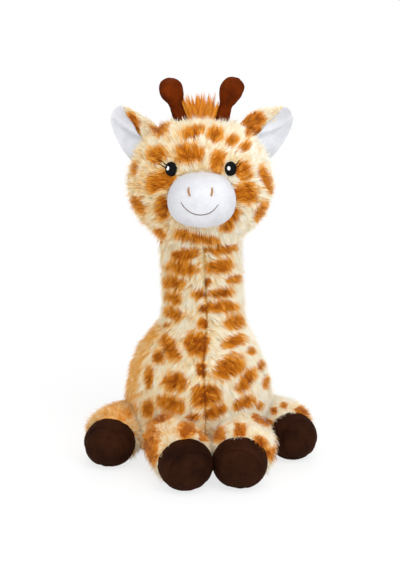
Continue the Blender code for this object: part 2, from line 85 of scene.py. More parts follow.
def pixels(points):
    """Columns and rows at which points show in the photograph."""
    ray = points - EYE_POINT
    depth = ray @ LOOK
    columns = AXIS_COLUMN + FOCAL_PIXELS * (ray @ RIGHT) / depth
    rows = FRAME_HEIGHT / 2 - FOCAL_PIXELS * (ray @ UP) / depth
    return columns, rows


def pixel_ray(column, row):
    ray = (LOOK + RIGHT * (column - AXIS_COLUMN) / FOCAL_PIXELS
           + UP * (FRAME_HEIGHT / 2 - row) / FOCAL_PIXELS)
    return Vector(EYE_POINT), Vector(ray).normalized()


def facing(points, normals):
    """Cosine between each normal and the way to the camera."""
    way = EYE_POINT - points
    way /= np.linalg.norm(way, axis=1, keepdims=True)
    return np.einsum("ij,ij->i", way, normals)


# Colours


def linear(code):
    """A colour such as C8690F as linear red, green and blue."""
    values = [int(code[k:k + 2], 16) / 255 for k in (0, 2, 4)]
    return tuple(v / 12.92 if v <= 0.04045 else ((v + 0.055) / 1.055) ** 2.4 for v in values)


# A strand's tone runs from the palest cream to the deepest brown
TONES = (
    (0.00, "FFFDF4"), (0.12, "FFF7E2"), (0.26, "FDEABF"), (0.38, "FAD494"), (0.48, "F7BC6A"),
    (0.58, "F3AC40"), (0.70, "E8961E"), (0.84, "CE740E"), (1.00, "904406"),
)
CREAM, PANEL, ORANGE, BROWN = 0.13, 0.51, 0.60, 0.89
# Painted light: the pile is paler towards the toy's left, which faces the key lamp, and a little warmer towards
# its right: tone a metre
PAINTED_LIGHT_SLOPE = 2.2
TONE_PLACES = np.array([place for place, _ in TONES])
TONE_COLOURS = np.array([linear(code) for _, code in TONES])


def tone_colours(tones):
    """Linear colours of many tones."""
    return np.stack([np.interp(tones, TONE_PLACES, TONE_COLOURS[:, k]) for k in range(3)], 1)


# Spots seen in the photograph: column, row, half width, half height, turn in degrees
HEAD_SPOTS = (
    (192.5, 132.5, 13, 6.4, -14), (215, 134.5, 9, 8, 12), (231.5, 140.5, 7, 5.8, -32),
    (244.5, 146.5, 6.4, 5, -32), (189, 153.5, 15, 10.5, -6), (217.5, 161, 8, 11.5, 8),
    (157, 155, 10.5, 8.4, -30), (244, 171, 8, 11, -12), (160, 181, 16.5, 9.6, -26),
    (266, 180, 15.5, 5, 68), (246, 193.5, 11.5, 12.5, 0), (162, 208.5, 7, 13, -10),
    (138.5, 205, 10.5, 5.8, 52), (260.5, 211, 12, 5, -62), (231, 217.5, 12, 6.4, -40),
    (227, 228, 8.5, 4, -8), (160, 233, 7, 5, 30), (135, 169, 3, 8, 0), (160, 128, 8.5, 9, 30),
    # The spots at (205, 239) and (189, 236.5) lie in the dark band under the chin: partly real spots, partly
    # painted shade under the muzzle
    (251, 131, 7, 5, -40), (205, 239, 14, 5, 10), (189, 236.5, 15, 6.6, 10),
)
BODY_SPOTS = (
    # The spots at (190, 240) and (188.5, 236) lie in the dark band under the chin: partly real spots, partly
    # painted shade under the muzzle
    (190, 240, 15, 4.5, 12), (159, 238, 6, 5, 30), (229, 236, 9, 4, 4),
    (188.5, 236, 13.5, 7, 10), (219.5, 247, 16, 8.4, 2), (185, 255, 14, 7, -12),
    (182, 268.5, 16, 7.6, 8), (220, 267, 13.8, 8, -12), (174.5, 283, 12, 7.8, 12),
    (208, 282.5, 4.5, 4.2, 0), (234, 279.5, 8.5, 4.4, -14), (222, 293, 12.4, 5.4, -6),
    (199, 295, 7.6, 5.6, 0), (174, 298, 9.6, 6.4, 30), (174, 314, 10.8, 6.6, 42),
    (202, 309.5, 5, 4.2, 0), (223, 307.5, 15.8, 6, -2), (202.5, 324, 5.4, 5.4, 0),
    (234, 322.5, 11.5, 8, -14), (167, 325.5, 3.4, 3, 0), (196.5, 344.5, 12.5, 13, 6),
    (170, 348.5, 16, 8, 57), (234.5, 341.5, 13, 6.6, -18), (158.5, 357.5, 6.6, 7.6, 0),
    (251, 351, 4.4, 4.4, -40), (201.5, 370, 5.8, 8.4, 0), (229.5, 367.5, 17.5, 11.4, -38),
    (149, 376.5, 4.8, 11.4, 0), (175.5, 382.5, 13, 10.6, 4), (246.5, 381, 15, 6.8, -54),
    (206, 396, 15.4, 12, -4), (171, 404, 15.5, 9.2, 18), (148, 409, 6.6, 9.4, 0),
    (244, 403, 13, 7, -26), (215.5, 412.5, 13.5, 6.6, -24), (260.5, 366, 5.8, 3.8, -60),
    (265.5, 382.5, 7.4, 3.8, -78), (260, 406.5, 5, 3.6, -60), (192, 418, 8, 5, 0),
)
LEG_SPOTS = (
    (149.5, 448, 9, 25, 6), (187, 430, 9, 9.5, -10), (204, 434, 6, 8, -30),
    (218, 434, 7, 9, 20), (240, 430, 7, 8, 4), (261, 443, 9, 6, 35), (271, 454, 8, 8, 0),
    (262, 420, 12, 5, 30), (160, 418, 14, 5.5, -22), (124, 414, 9, 7, -20),
    (303, 412, 8, 5, 35), (312, 421, 4, 7, -30), (274, 411, 3.5, 4, 0), (284, 405, 4, 3, 10),
    (110, 404, 7, 5, -30),
)
EAR_SPOTS = (
    (133.5, 122.5, 5.6, 13, -16), (159, 127, 9.5, 9.5, 20), (252, 121.5, 13, 9.5, -36),
    (241, 127.5, 8, 5, 10), (256, 130, 5, 8, 20),
)


# The power of a spot's outline, where 2 is an ellipse
SPOT_POWER = 2.6
FAR_OUTSIDE = -9.0


def spot_depth(points, spots, jitter):
    """How far each point lies inside its nearest spot of the photograph: 1 at the middle,
    0 on the edge, negative outside."""
    columns, rows = pixels(points)
    best = np.full(len(points), FAR_OUTSIDE)
    for column, row, half_width, half_height, turn in spots:
        a = math.radians(turn)
        dx, dy = columns - column, rows - row
        across = (dx * math.cos(a) + dy * math.sin(a)) / half_width
        along = (dy * math.cos(a) - dx * math.sin(a)) / half_height
        reach = (np.abs(across) ** SPOT_POWER + np.abs(along) ** SPOT_POWER) ** (1 / SPOT_POWER)
        best = np.maximum(best, 1 - reach)
    return best + jitter


def ripple(points, size, seed, waves=7):
    """Smooth noise from -1 to 1 about, one value a point, with features of the given size."""
    rng = np.random.default_rng(seed)
    total = np.zeros(len(points))
    for _ in range(waves):
        way = rng.normal(size=3)
        way *= 2 * math.pi / size / np.linalg.norm(way) * rng.uniform(0.6, 1.5)
        total += np.sin(points @ way + rng.uniform(0, 2 * math.pi))
    return total / math.sqrt(waves) * 1.2


# Soft forms


class Form:
    """A closed surface: points, faces, and a smooth normal at each point."""

    def __init__(self, points, faces):
        self.points = np.asarray(points, float)
        self.faces = faces
        self.triangles = np.array([(f[0], f[k], f[k + 1]) for f in faces
                                   for k in range(1, len(f) - 1)])
        a, b, c = (self.points[self.triangles[:, k]] for k in range(3))
        cross = np.cross(b - a, c - a)
        self.areas = np.linalg.norm(cross, axis=1) / 2
        self.normals = np.zeros_like(self.points)
        for k in range(3):
            np.add.at(self.normals, self.triangles[:, k], cross)
        self.normals /= np.maximum(np.linalg.norm(self.normals, axis=1, keepdims=True), 1e-12)

    def weights(self, keep=None):
        """The area of each triangle, or the part of it that is kept."""
        if keep is None:
            return self.areas
        return self.areas * keep(self.points[self.triangles].mean(1),
                                 self.normals[self.triangles].mean(1))

    def sample(self, count, rng, keep=None):
        """Places spread over the surface, with normals."""
        weights = self.weights(keep)
        chosen = rng.choice(len(weights), size=count, p=weights / weights.sum())
        u, v = rng.random(count), rng.random(count)
        over = u + v > 1
        u[over], v[over] = 1 - u[over], 1 - v[over]
        shares = np.stack([1 - u - v, u, v], 1)[:, :, None]
        corners = self.triangles[chosen]
        points = (self.points[corners] * shares).sum(1)
        normals = (self.normals[corners] * shares).sum(1)
        normals /= np.linalg.norm(normals, axis=1, keepdims=True)
        return points, normals

    def tree(self):
        return BVHTree.FromPolygons([tuple(p) for p in self.points],
                                    [tuple(t) for t in self.triangles])


def spline(rows, steps):
    """A smooth line through rows of numbers, with steps places between each two."""
    rows = np.asarray(rows, float)
    line = []
    last = len(rows) - 1
    for k in range(last):
        p0, p1, p2, p3 = rows[max(k - 1, 0)], rows[k], rows[k + 1], rows[min(k + 2, last)]
        for t in np.arange(steps) / steps:
            line.append((2 * p1 + (p2 - p0) * t + (2 * p0 - 5 * p1 + 4 * p2 - p3) * t ** 2
                         + (3 * p1 - p0 - 3 * p2 + p3) * t ** 3) / 2)
    line.append(rows[-1])
    return np.array(line)


def band(low, around):
    """The quads between the ring of points that starts at low and the next ring."""
    return [(low + k, low + (k + 1) % around, low + around + (k + 1) % around, low + around + k)
            for k in range(around)]


def capped(rings, around):
    """Faces of rings of points, closed by a point before the first and one after the last."""
    last = 1 + (rings - 1) * around
    faces = [(0, 1 + (k + 1) % around, 1 + k) for k in range(around)]
    for low in range(1, last, around):
        faces += band(low, around)
    return faces + [(last + k, last + (k + 1) % around, last + around) for k in range(around)]


def loft(rings, around=96, steps=5, matrix=None):
    """A closed form from rings (height, half width, half depth, middle y), bottom to top."""
    levels = spline(np.array(rings, float) * MM, steps)
    angles = np.arange(around) * 2 * math.pi / around
    points = [(0.0, levels[0][3], levels[0][0])]
    for height, half_width, half_depth, middle in levels:
        for a in angles:
            points.append((max(half_width, 0) * math.sin(a),
                           middle - max(half_depth, 0) * math.cos(a), height))
    points.append((0.0, levels[-1][3], levels[-1][0]))
    points = np.array(points)
    if matrix is not None:
        points = placed(points, matrix)
    return Form(points, capped(len(levels), around))


def placed(points, matrix):
    """Points moved by a matrix."""
    m = np.array(matrix)
    return points @ m[:3, :3].T + m[:3, 3]


# Pieces


def mesh_object(name, points, faces, smooth=True):
    mesh = bpy.data.meshes.new(name)
    mesh.from_pydata([tuple(p) for p in points], [], [tuple(int(i) for i in f) for f in faces])
    if smooth:
        mesh.shade_smooth()
    made = bpy.data.objects.new(name, mesh)
    bpy.context.scene.collection.objects.link(made)
    return made


SWELL_FRAMES = 20


def swelled(points, faces, held, cap, growth=0.03):
    """Cloth a little larger than its shape, blown out by its filling and held at its seams.
    No point moves further than the cap, in mm."""
    made = mesh_object("swelling", points, faces)
    made.vertex_groups.new(name="held").add([int(k) for k in np.flatnonzero(held)], 1.0, "REPLACE")
    cloth = made.modifiers.new("cloth", "CLOTH")
    cloth.settings.vertex_group_mass = "held"
    cloth.settings.use_pressure = True
    cloth.settings.uniform_pressure_force = 4
    cloth.settings.shrink_min = -growth
    cloth.settings.effector_weights.gravity = 0
    cloth.collision_settings.use_collision = False
    for number in range(1, SWELL_FRAMES + 1):
        bpy.context.scene.frame_set(number)
    solved = made.evaluated_get(bpy.context.evaluated_depsgraph_get())
    moved = np.empty(len(points) * 3)
    solved.data.vertices.foreach_get("co", moved)
    bpy.data.objects.remove(made)
    bpy.context.scene.frame_set(1)
    step = moved.reshape(-1, 3) - points
    size = np.linalg.norm(step, axis=1, keepdims=True)
    return points + step * np.minimum(1, cap * MM / np.maximum(size, 1e-9))


def subdivided(piece):
    piece.modifiers.new("subdivision", "SUBSURF").levels = 1
    piece.modifiers["subdivision"].render_levels = 1


def dress(piece, material, body, nodes=(), across=None):
    """Gives a piece its material and makes it move with its body; where across, a (body, start, end),
    is given, its place is baked into its mesh instead. Hides the solids named in nodes."""
    piece.data.materials.append(material)
    if across:
        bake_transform(piece)
    else:
        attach(piece, body)
    if nodes:
        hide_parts(*nodes)
    return piece


def tint(piece, colours):
    """Keeps a colour at each point of a piece's mesh."""
    layer = piece.data.color_attributes.new("tint", "FLOAT_COLOR", "POINT")
    layer.data.foreach_set("color", np.hstack([colours, np.ones((len(colours), 1))]).ravel())


# Pile


def unit(vectors):
    return vectors / np.maximum(np.linalg.norm(vectors, axis=1, keepdims=True), 1e-9)


# The share of strands that stray from their lock, how far each strand's root lies under the
# surface, and the least height of a line and of a strand over the floor, in mm
STRAY_SHARE = 0.11
ROOT_DEPTH = 0.6
LINE_HEIGHT, STRAND_HEIGHT = 0.3, 0.1
# How much narrower a strand is at its tip, and how far its sides turn about it, in degrees
TAPER = 0.55
TWIST = 30


def combed(roots, normals, flow, length, leads, lift, pull, sway, scatter, rng, seed):
    """Lines of three points for strands that leave their roots at the first lift angle over
    the surface and bend towards the flow with the second, drawn together in locks. Also gives
    the number of each strand's lock."""
    count = len(roots)
    rises = np.array((0, 0.5, 1.0))
    flow = unit(flow - normals * np.einsum("ij,ij->i", flow, normals)[:, None])
    side = np.cross(normals, flow)
    turn = np.radians(sway) * ripple(roots, 17 * MM, seed + 11) \
        + np.radians(scatter) * rng.normal(size=count)
    stray = rng.random(count) < STRAY_SHARE
    rise = 1 + 0.2 * ripple(roots, 9 * MM, seed + 12) + 0.22 * rng.normal(size=count) + 0.6 * stray
    flow = flow * np.cos(turn)[:, None] + side * np.sin(turn)[:, None]
    reach = length * (1 + 0.3 * stray)
    lines = np.empty((count, 3, 3))
    lines[:, 0] = roots - normals * ROOT_DEPTH * MM
    for k in range(2):
        angle = np.radians(np.clip(lift[k] * rise, 3, 88))
        way = flow * np.cos(angle)[:, None] + normals * np.sin(angle)[:, None]
        lines[:, k + 1] = lines[:, k] + way * (reach * 0.5)[:, None]
    chosen = rng.choice(count, min(leads, count), replace=False)
    tree = KDTree(len(chosen))
    for k, which in enumerate(chosen):
        tree.insert(roots[which], k)
    tree.balance()
    lock = np.array([tree.find(p)[1] for p in roots])
    strength = pull * rng.uniform(0.35, 1.0, count)[:, None] * (1 - 0.8 * stray)[:, None]
    for k in (1, 2):
        lines[:, k] += (lines[chosen[lock], k] - lines[:, k]) * strength * rises[k] ** 1.4
    lines[:, :, 2] = np.maximum(lines[:, :, 2], LINE_HEIGHT * MM)
    return lines, lock


def strands(name, lines, outward, tones, width, rng, roundness=0.34):
    """A pile of tapering three-sided strands along lines of points, root first. Roundness is
    how far each is shaded by its own sides and not by the surface under it."""
    count, levels = lines.shape[:2]
    rises = np.linspace(0, 1, levels)
    way = unit(lines[:, -1] - lines[:, 0])
    flat = unit(np.cross(way, outward))
    twist = np.radians(TWIST) * rng.normal(size=count)
    rim = unit(flat * np.cos(twist)[:, None] + np.cross(way, flat) * np.sin(twist)[:, None])
    out = np.cross(rim, way)
    per = 3 * levels
    points = np.empty((count, per, 3))
    shades = np.empty((count, per, 3))
    for k in range(levels):
        start, reach = 90, (width * (1 - TAPER * rises[k] ** 1.5) / 1.73)[:, None]
        if k == levels - 1:
            start, reach = 30, 0
        for j in range(3):
            angle = math.radians(start + 120 * j)
            arm = rim * math.cos(angle) + out * math.sin(angle)
            points[:, 3 * k + j] = lines[:, k] + arm * reach
            shades[:, 3 * k + j] = unit((1 - roundness) * outward + roundness * arm)
    points[:, :, 2] = np.maximum(points[:, :, 2], STRAND_HEIGHT * MM)
    corners = []
    for k in range(levels - 2):
        low = 3 * k
        for j in range(3):
            before = (j + 2) % 3
            corners.append((low + j, low + before, low + 3 + before, low + 3 + j))
    corners += [(per - 6 + j, per - 6 + (j + 2) % 3, per - 3 + j) for j in range(3)]
    sizes = [len(c) for c in corners]
    corners = np.array([i for c in corners for i in c])[None] + (np.arange(count) * per)[:, None]
    return strand_mesh(name, points.reshape(-1, 3), corners, sizes, shades.reshape(-1, 3),
                       strand_map(tones, corners, rises))


def on_chart(share):
    """A place on the colour map, clear of its borders."""
    return 0.03 + 0.94 * share


def strand_map(tones, corners, rises):
    """Tone across, and root to tip up, so that a bake of the map keeps each strand's colour."""
    u = np.clip(on_chart(tones), 0.02, 0.98)
    edge = 0.004
    point_u = np.stack([u, u - edge, u + edge] * (len(rises) - 1) + [u, u, u], 1)
    point_v = np.tile(on_chart(np.repeat(rises, 3)), (len(tones), 1))
    order = corners.ravel()
    return np.stack([point_u.ravel()[order], point_v.ravel()[order]], 1)


def strand_mesh(name, points, corners, sizes, shades, chart):
    count = len(corners)
    mesh = bpy.data.meshes.new(name)
    mesh.vertices.add(len(points))
    mesh.vertices.foreach_set("co", points.astype(np.float32).ravel())
    mesh.loops.add(corners.size)
    mesh.loops.foreach_set("vertex_index", corners.astype(np.int32).ravel())
    mesh.polygons.add(count * len(sizes))
    starts = (np.arange(count) * sum(sizes))[:, None] + np.cumsum([0] + sizes[:-1])
    mesh.polygons.foreach_set("loop_start", starts.astype(np.int32).ravel())
    layer = mesh.uv_layers.new(name="OFBake")
    layer.data.foreach_set("uv", chart.astype(np.float32).ravel())
    mesh.update(calc_edges=True)
    mesh.shade_smooth()
    mesh.normals_split_custom_set_from_vertices(shades.astype(np.float32))
    made = bpy.data.objects.new(name, mesh)
    bpy.context.scene.collection.objects.link(made)
    return made


# Materials


def node_material(name, roughness, sheen=0.0, sheen_roughness=0.5, specular=0.3, sheen_tint=None):
    made = bpy.data.materials.new(name)
    made.use_nodes = True
    tree = made.node_tree
    shader = tree.nodes["Principled BSDF"]
    shader.inputs["Roughness"].default_value = roughness
    shader.inputs["Specular IOR Level"].default_value = specular
    shader.inputs["Sheen Weight"].default_value = sheen
    shader.inputs["Sheen Roughness"].default_value = sheen_roughness
    if sheen_tint:
        shader.inputs["Sheen Tint"].default_value = (*linear(sheen_tint), 1)
    return made, tree, shader


def ramp(tree, factor, stops):
    """A ColorRamp with (place, colour) stops fed by a socket."""
    node = tree.nodes.new("ShaderNodeValToRGB")
    elements = node.color_ramp.elements
    while len(elements) > 1:
        elements.remove(elements[-1])
    elements[0].position = stops[0][0]
    elements[0].color = (*stops[0][1], 1)
    for place, colour in stops[1:]:
        elements.new(place).color = (*colour, 1)
    tree.links.new(factor, node.inputs["Fac"])
    return node.outputs["Color"]


def noise(tree, scale, detail=3.0, roughness=0.6):
    node = tree.nodes.new("ShaderNodeTexNoise")
    node.inputs["Scale"].default_value = scale
    node.inputs["Detail"].default_value = detail
    node.inputs["Roughness"].default_value = roughness
    tree.links.new(tree.nodes.new("ShaderNodeTexCoord").outputs["Object"], node.inputs["Vector"])
    return node.outputs["Fac"]


def multiply(tree, first, second):
    node = tree.nodes.new("ShaderNodeMix")
    node.data_type = "RGBA"
    node.blend_type = "MULTIPLY"
    node.inputs["Factor"].default_value = 1.0
    tree.links.new(first, node.inputs["A"])
    tree.links.new(second, node.inputs["B"])
    return node.outputs["Result"]


def bumped(tree, shader, height, strength, distance):
    node = tree.nodes.new("ShaderNodeBump")
    node.inputs["Strength"].default_value = strength
    node.inputs["Distance"].default_value = distance
    tree.links.new(height, node.inputs["Height"])
    tree.links.new(node.outputs["Normal"], shader.inputs["Normal"])


def varied_roughness(tree, shader, factor, low, high):
    node = tree.nodes.new("ShaderNodeMapRange")
    node.inputs["To Min"].default_value = low
    node.inputs["To Max"].default_value = high
    tree.links.new(factor, node.inputs["Value"])
    tree.links.new(node.outputs["Result"], shader.inputs["Roughness"])


def pile_material(name, roots):
    """Strands: the tone across the map, darkened and warmed towards the roots by painted shade."""
    made, tree, shader = node_material(name, 0.8, sheen=0.25, sheen_roughness=0.4, specular=0.12)
    chart = tree.nodes.new("ShaderNodeUVMap")
    chart.uv_map = "OFBake"
    split = tree.nodes.new("ShaderNodeSeparateXYZ")
    tree.links.new(chart.outputs["UV"], split.inputs[0])
    colour = ramp(tree, split.outputs["X"], [(on_chart(p), linear(code)) for p, code in TONES])
    # Painted shade deep in the pile: each strand darker and warmer towards its root
    depth = ramp(tree, split.outputs["Y"], roots)
    tree.links.new(multiply(tree, colour, depth), shader.inputs["Base Color"])
    grain = noise(tree, 400)
    varied_roughness(tree, shader, grain, 0.65, 0.9)
    bumped(tree, shader, grain, 0.1, 0.0002)
    return made


def backing_material(name):
    """The woven backing under the pile, tinted like the pile over it."""
    made, tree, shader = node_material(name, 0.9, sheen=0.2, specular=0.1)
    tinted = tree.nodes.new("ShaderNodeVertexColor")
    tinted.layer_name = "tint"
    grain = noise(tree, 900, detail=4)
    shade = ramp(tree, grain, ((0.3, (0.62,) * 3), (0.7, (1.0,) * 3)))
    tree.links.new(multiply(tree, tinted.outputs["Color"], shade), shader.inputs["Base Color"])
    varied_roughness(tree, shader, grain, 0.8, 1.0)
    bumped(tree, shader, grain, 0.5, 0.0006)
    return made


def velour_material(name, dark, light, sheen, sheen_tint):
    """Short velour: fine nap, cloudy where it has been stroked, with a soft edge glow."""
    made, tree, shader = node_material(name, 0.85, sheen=sheen, sheen_roughness=0.35,
                                       specular=0.04, sheen_tint=sheen_tint)
    cloud = noise(tree, 45, detail=4, roughness=0.62)
    colour = ramp(tree, cloud, ((0.32, linear(dark)), (0.68, linear(light))))
    nap = noise(tree, 1100, detail=2)
    shade = ramp(tree, nap, ((0.25, (0.80,) * 3), (0.75, (1.0,) * 3)))
    tree.links.new(multiply(tree, colour, shade), shader.inputs["Base Color"])
    varied_roughness(tree, shader, nap, 0.7, 0.95)
    bumped(tree, shader, nap, 0.35, 0.0004)
    return made


def thread_material(name, colour, sheen=0.15, specular=0.4):
    """Satin stitch: fine parallel threads."""
    made, tree, shader = node_material(name, 0.5, sheen=sheen, specular=specular)
    wave = tree.nodes.new("ShaderNodeTexWave")
    wave.bands_direction = "Z"
    wave.inputs["Scale"].default_value = 1600
    wave.inputs["Distortion"].default_value = 1.2
    tree.links.new(tree.nodes.new("ShaderNodeTexCoord").outputs["Object"], wave.inputs["Vector"])
    bright = linear(colour)
    shade = ramp(tree, wave.outputs["Fac"], ((0.0, tuple(0.7 * c for c in bright)), (1.0, bright)))
    tree.links.new(shade, shader.inputs["Base Color"])
    varied_roughness(tree, shader, wave.outputs["Fac"], 0.5, 0.7)
    bumped(tree, shader, wave.outputs["Fac"], 0.4, 0.0003)
    return made


# Both piles carry painted shade: darker and warmer towards the roots
fur = pile_material("cream_and_orange_pile", (
    (0.0, (0.80, 0.60, 0.36)), (0.5, (0.97, 0.91, 0.78)), (0.88, (1.0,) * 3)))
# Painted shade: a darker copy of the pile for the legs, whose pile casts no shadow
shaded_leg_fur = pile_material("leg_pile", (
    (0.0, (0.66, 0.52, 0.36)), (0.5, (0.84, 0.80, 0.72)), (0.88, (0.88,) * 3)))
backing = backing_material("pile_backing")
white_velour = velour_material("white_velour", "CBCCD1", "DADBDF", 0.12, "FFFFFF")
# Painted shade: a darker copy of the white velour for the ear linings, which face the light
ear_velour = velour_material("ear_velour", "C4C6CC", "DADCE2", 0.10, "FFFFFF")
rust_velour = velour_material("rust_velour", "381102", "6E2A03", 0.13, "C86414")
dark_velour = velour_material("dark_velour", "1F0D06", "341A0C", 0.16, "8A4A20")
black_thread = thread_material("black_thread", "020203", sheen=0.0, specular=0.12)
white_thread = thread_material("white_thread", "F6F6FA")
tan_thread = thread_material("tan_thread", "B4834E")
brown_thread = thread_material("brown_thread", "6B4A3A")


# Torso and neck


BODY_RINGS = (
    # height, half width, half depth, middle y, in mm
    (1.2, 30, 29, 7), (1.8, 50, 47, 7), (4, 62, 57, 7), (10, 69, 63.5, 7), (20, 73.6, 68.5, 6.5),
    (42, 76.2, 72.5, 5), (74, 71.8, 71, 2), (98, 64.6, 66, 0.5), (112, 58, 60.5, 0),
    (123, 51.4, 53, 0), (132, 45.4, 46.5, 0), (139, 41.0, 41.5, 0), (148, 38.8, 38, 0),
    (170, 38.0, 36.8, 0), (200, 37.6, 36.2, 0), (228, 37.6, 36.4, 0), (243, 37.6, 36.2, 0),
    (249, 33, 32, 0),
)
BODY_SWAY = (
    # height and how far the body leans to its left there, in mm
    (0, 0), (60, -0.8), (95, -2.2), (112, -2.4), (128, 0.2), (142, 2.4), (160, 3.2), (178, 2.8),
    (205, 1.2), (235, 0.2), (260, 0),
)
BEND = (DOME_CENTRE + 0.016, DOME_CENTRE + 0.052)
PANEL_ANGLES = {1: math.radians(104), -1: math.radians(63)}
PANEL_TOP = 0.139
# The heights at which the neck's pile starts and ends
SHOULDER, NECK_TOP = 0.1265, 0.246
# Spots are a little wider and lighter off the belly: its height and how far it reaches
BELLY_HEIGHT, BELLY_REACH = 0.09, 0.035


def panel_share(points):
    """1 on the tan panel round the torso's sides and back, 0 on its front."""
    angle = np.abs(np.arctan2(points[:, 0], -(points[:, 1] - 3 * MM)))
    side = (angle - np.where(points[:, 0] > 0, PANEL_ANGLES[1], PANEL_ANGLES[-1])) / 0.03
    top = (PANEL_TOP - points[:, 2]) / (3 * MM)
    return np.clip(np.minimum(side, top), 0, 1)


def body_lean(heights):
    rows = np.array(BODY_SWAY, float) * MM
    return np.interp(heights, rows[:, 0], rows[:, 1])


def from_seam(points):
    """How far points lie to the left of the seam down the body's middle."""
    return points[:, 0] - body_lean(points[:, 2])


def body_spread(points):
    """The seam down the front parts the pile to both sides."""
    x = from_seam(points)
    near = np.exp(-np.abs(x) / (22 * MM)) * (points[:, 1] < 0)
    side = np.where(x > 0, 1.15, -0.8) * near
    return np.stack([side, 0.1 * np.ones_like(x), -np.ones_like(x)], 1)


def hidden_seeds(form, spacing, seed, keep=None):
    """Middles of spots where the photograph doesn't look, well apart."""
    rng = np.random.default_rng(seed)
    points, normals = form.sample(1500, rng)
    away = facing(points, normals) < -0.12
    if keep is not None:
        away &= keep(points)
    chosen = []
    for p in points[away]:
        if all(np.linalg.norm(p - q) > spacing for q in chosen):
            chosen.append(p)
    return np.array(chosen), rng.uniform(0.34, 0.46, len(chosen)) * spacing


def seed_depth(points, seeds, radii, wobble):
    """Like spot_depth, for spots given by middles in space."""
    best = np.full(len(points), FAR_OUTSIDE)
    for middle, radius in zip(seeds, radii):
        reach = np.linalg.norm((points - middle) * (1, 1, 0.92), axis=1) / radius
        best = np.maximum(best, 1 - reach * (1 + 0.16 * wobble))
    return best


def giraffe_tones(points, normals, spots, seeds, rng, panel=None, warm=0.0):
    """The tone of each strand: cream, or the orange of a spot, or the tan panel."""
    count = len(points)
    wobble = ripple(points, 11 * MM, 5)
    fleck = rng.normal(size=count)
    seen = facing(points, normals) > -0.02
    depth = np.where(seen, spot_depth(points, spots, 0.07 * wobble),
                     seed_depth(points, *seeds, wobble))
    off_belly = 1 - np.exp(-((points[:, 2] - BELLY_HEIGHT) / BELLY_REACH) ** 2)
    depth = depth + 0.09 * fleck + 0.05 * off_belly
    inside = np.clip(depth / 0.16 + 0.5, 0, 1)
    # Painted light: paler towards the toy's left, where the key lamp falls, warmer towards its right
    warm = warm - PAINTED_LIGHT_SLOPE * np.clip(points[:, 0] + 0.004, -0.06, 0.05)
    cream = CREAM + warm + 0.06 * ripple(points, 16 * MM, 6) + 0.10 * rng.normal(size=count)
    spot = ORANGE - 0.05 * off_belly + (BROWN - ORANGE) * np.clip(depth * 1.9, 0, 1) \
        + 0.07 * ripple(points, 6 * MM, 7) + 0.08 * rng.normal(size=count)
    if panel is not None:
        mottle = PANEL + 0.05 * ripple(points, 9 * MM, 8) + 0.06 * rng.normal(size=count)
        cream = cream + (mottle - cream) * panel
        inside = inside * (1 - panel)
    return np.clip(cream + (spot - cream) * inside, 0, 1)


def backing_tones(form, painter):
    """The backing under the pile takes the pile's colours, a little darker."""
    rng = np.random.default_rng(3)
    return tone_colours(painter(form.points, form.normals, rng)) * (0.86, 0.80, 0.70)


PILE = 1


def pile(name, form, painter, flow, length, density=1.5, width=0.44, locks=2.8, keep=None,
         seed=1, shape=None, lift=(52, 16), pull=0.5, sway=16, scatter=14, streak=0.09,
         roundness=0.34):
    """Strands over a form, coloured where their middles lie. Length, width and the spacing
    of the locks are in mm, density in strands a square mm, lift, sway and scatter in degrees."""
    rng = np.random.default_rng(seed)
    area = form.weights(keep).sum() / MM ** 2
    roots, normals = form.sample(int(area * density / PILE), rng, keep)
    lengths = length * MM * rng.uniform(0.70, 1.12, len(roots))
    widths = width * MM * rng.uniform(0.75, 1.25, len(roots)) * (1.6 if PILE > 1 else 1)
    direction = flow(roots)
    if shape is not None:
        change, push = shape(roots)
        lengths = lengths * change
        direction = direction + push
    angles = lift(roots) if callable(lift) else lift
    lines, lock = combed(roots, normals, direction, lengths, int(area / locks ** 2), angles,
                         pull, sway, scatter, rng, seed)
    tones = painter(roots * 0.15 + lines[:, 1] * 0.5 + lines[:, 2] * 0.35, normals, rng)
    tones = np.clip(tones + streak * rng.normal(size=lock.max() + 1)[lock], 0, 1)
    return strands(name, lines, normals, tones, widths, rng, roundness)


body = loft(BODY_RINGS, around=128, steps=6)
body.points[:, 0] += body_lean(body.points[:, 2])
body_seeds = hidden_seeds(body, 25 * MM, 21,
                          keep=lambda p: (p[:, 2] > PANEL_TOP) & (p[:, 2] < 0.235))


def body_painter(points, normals, rng):
    """Painted shade along the seam down the front, where the pile parts: a deeper tone near it."""
    tones = giraffe_tones(points, normals, BODY_SPOTS, body_seeds, rng, panel_share(points))
    gap = np.abs(from_seam(points)) / MM
    seam_shade_tone = 0.26 * np.exp(-(gap / 1.7) ** 2) + 0.06 * np.exp(-(gap / 13) ** 2)
    return np.clip(tones + np.where(points[:, 1] < 0, seam_shade_tone, 0), 0, 1)


def body_shape(roots):
    """Shorter pile in the centre seam of the front."""
    near = np.clip(np.abs(from_seam(roots)) / (4.5 * MM), 0.35, 1)
    return np.where(roots[:, 1] < 0, near, 1), np.zeros_like(roots)


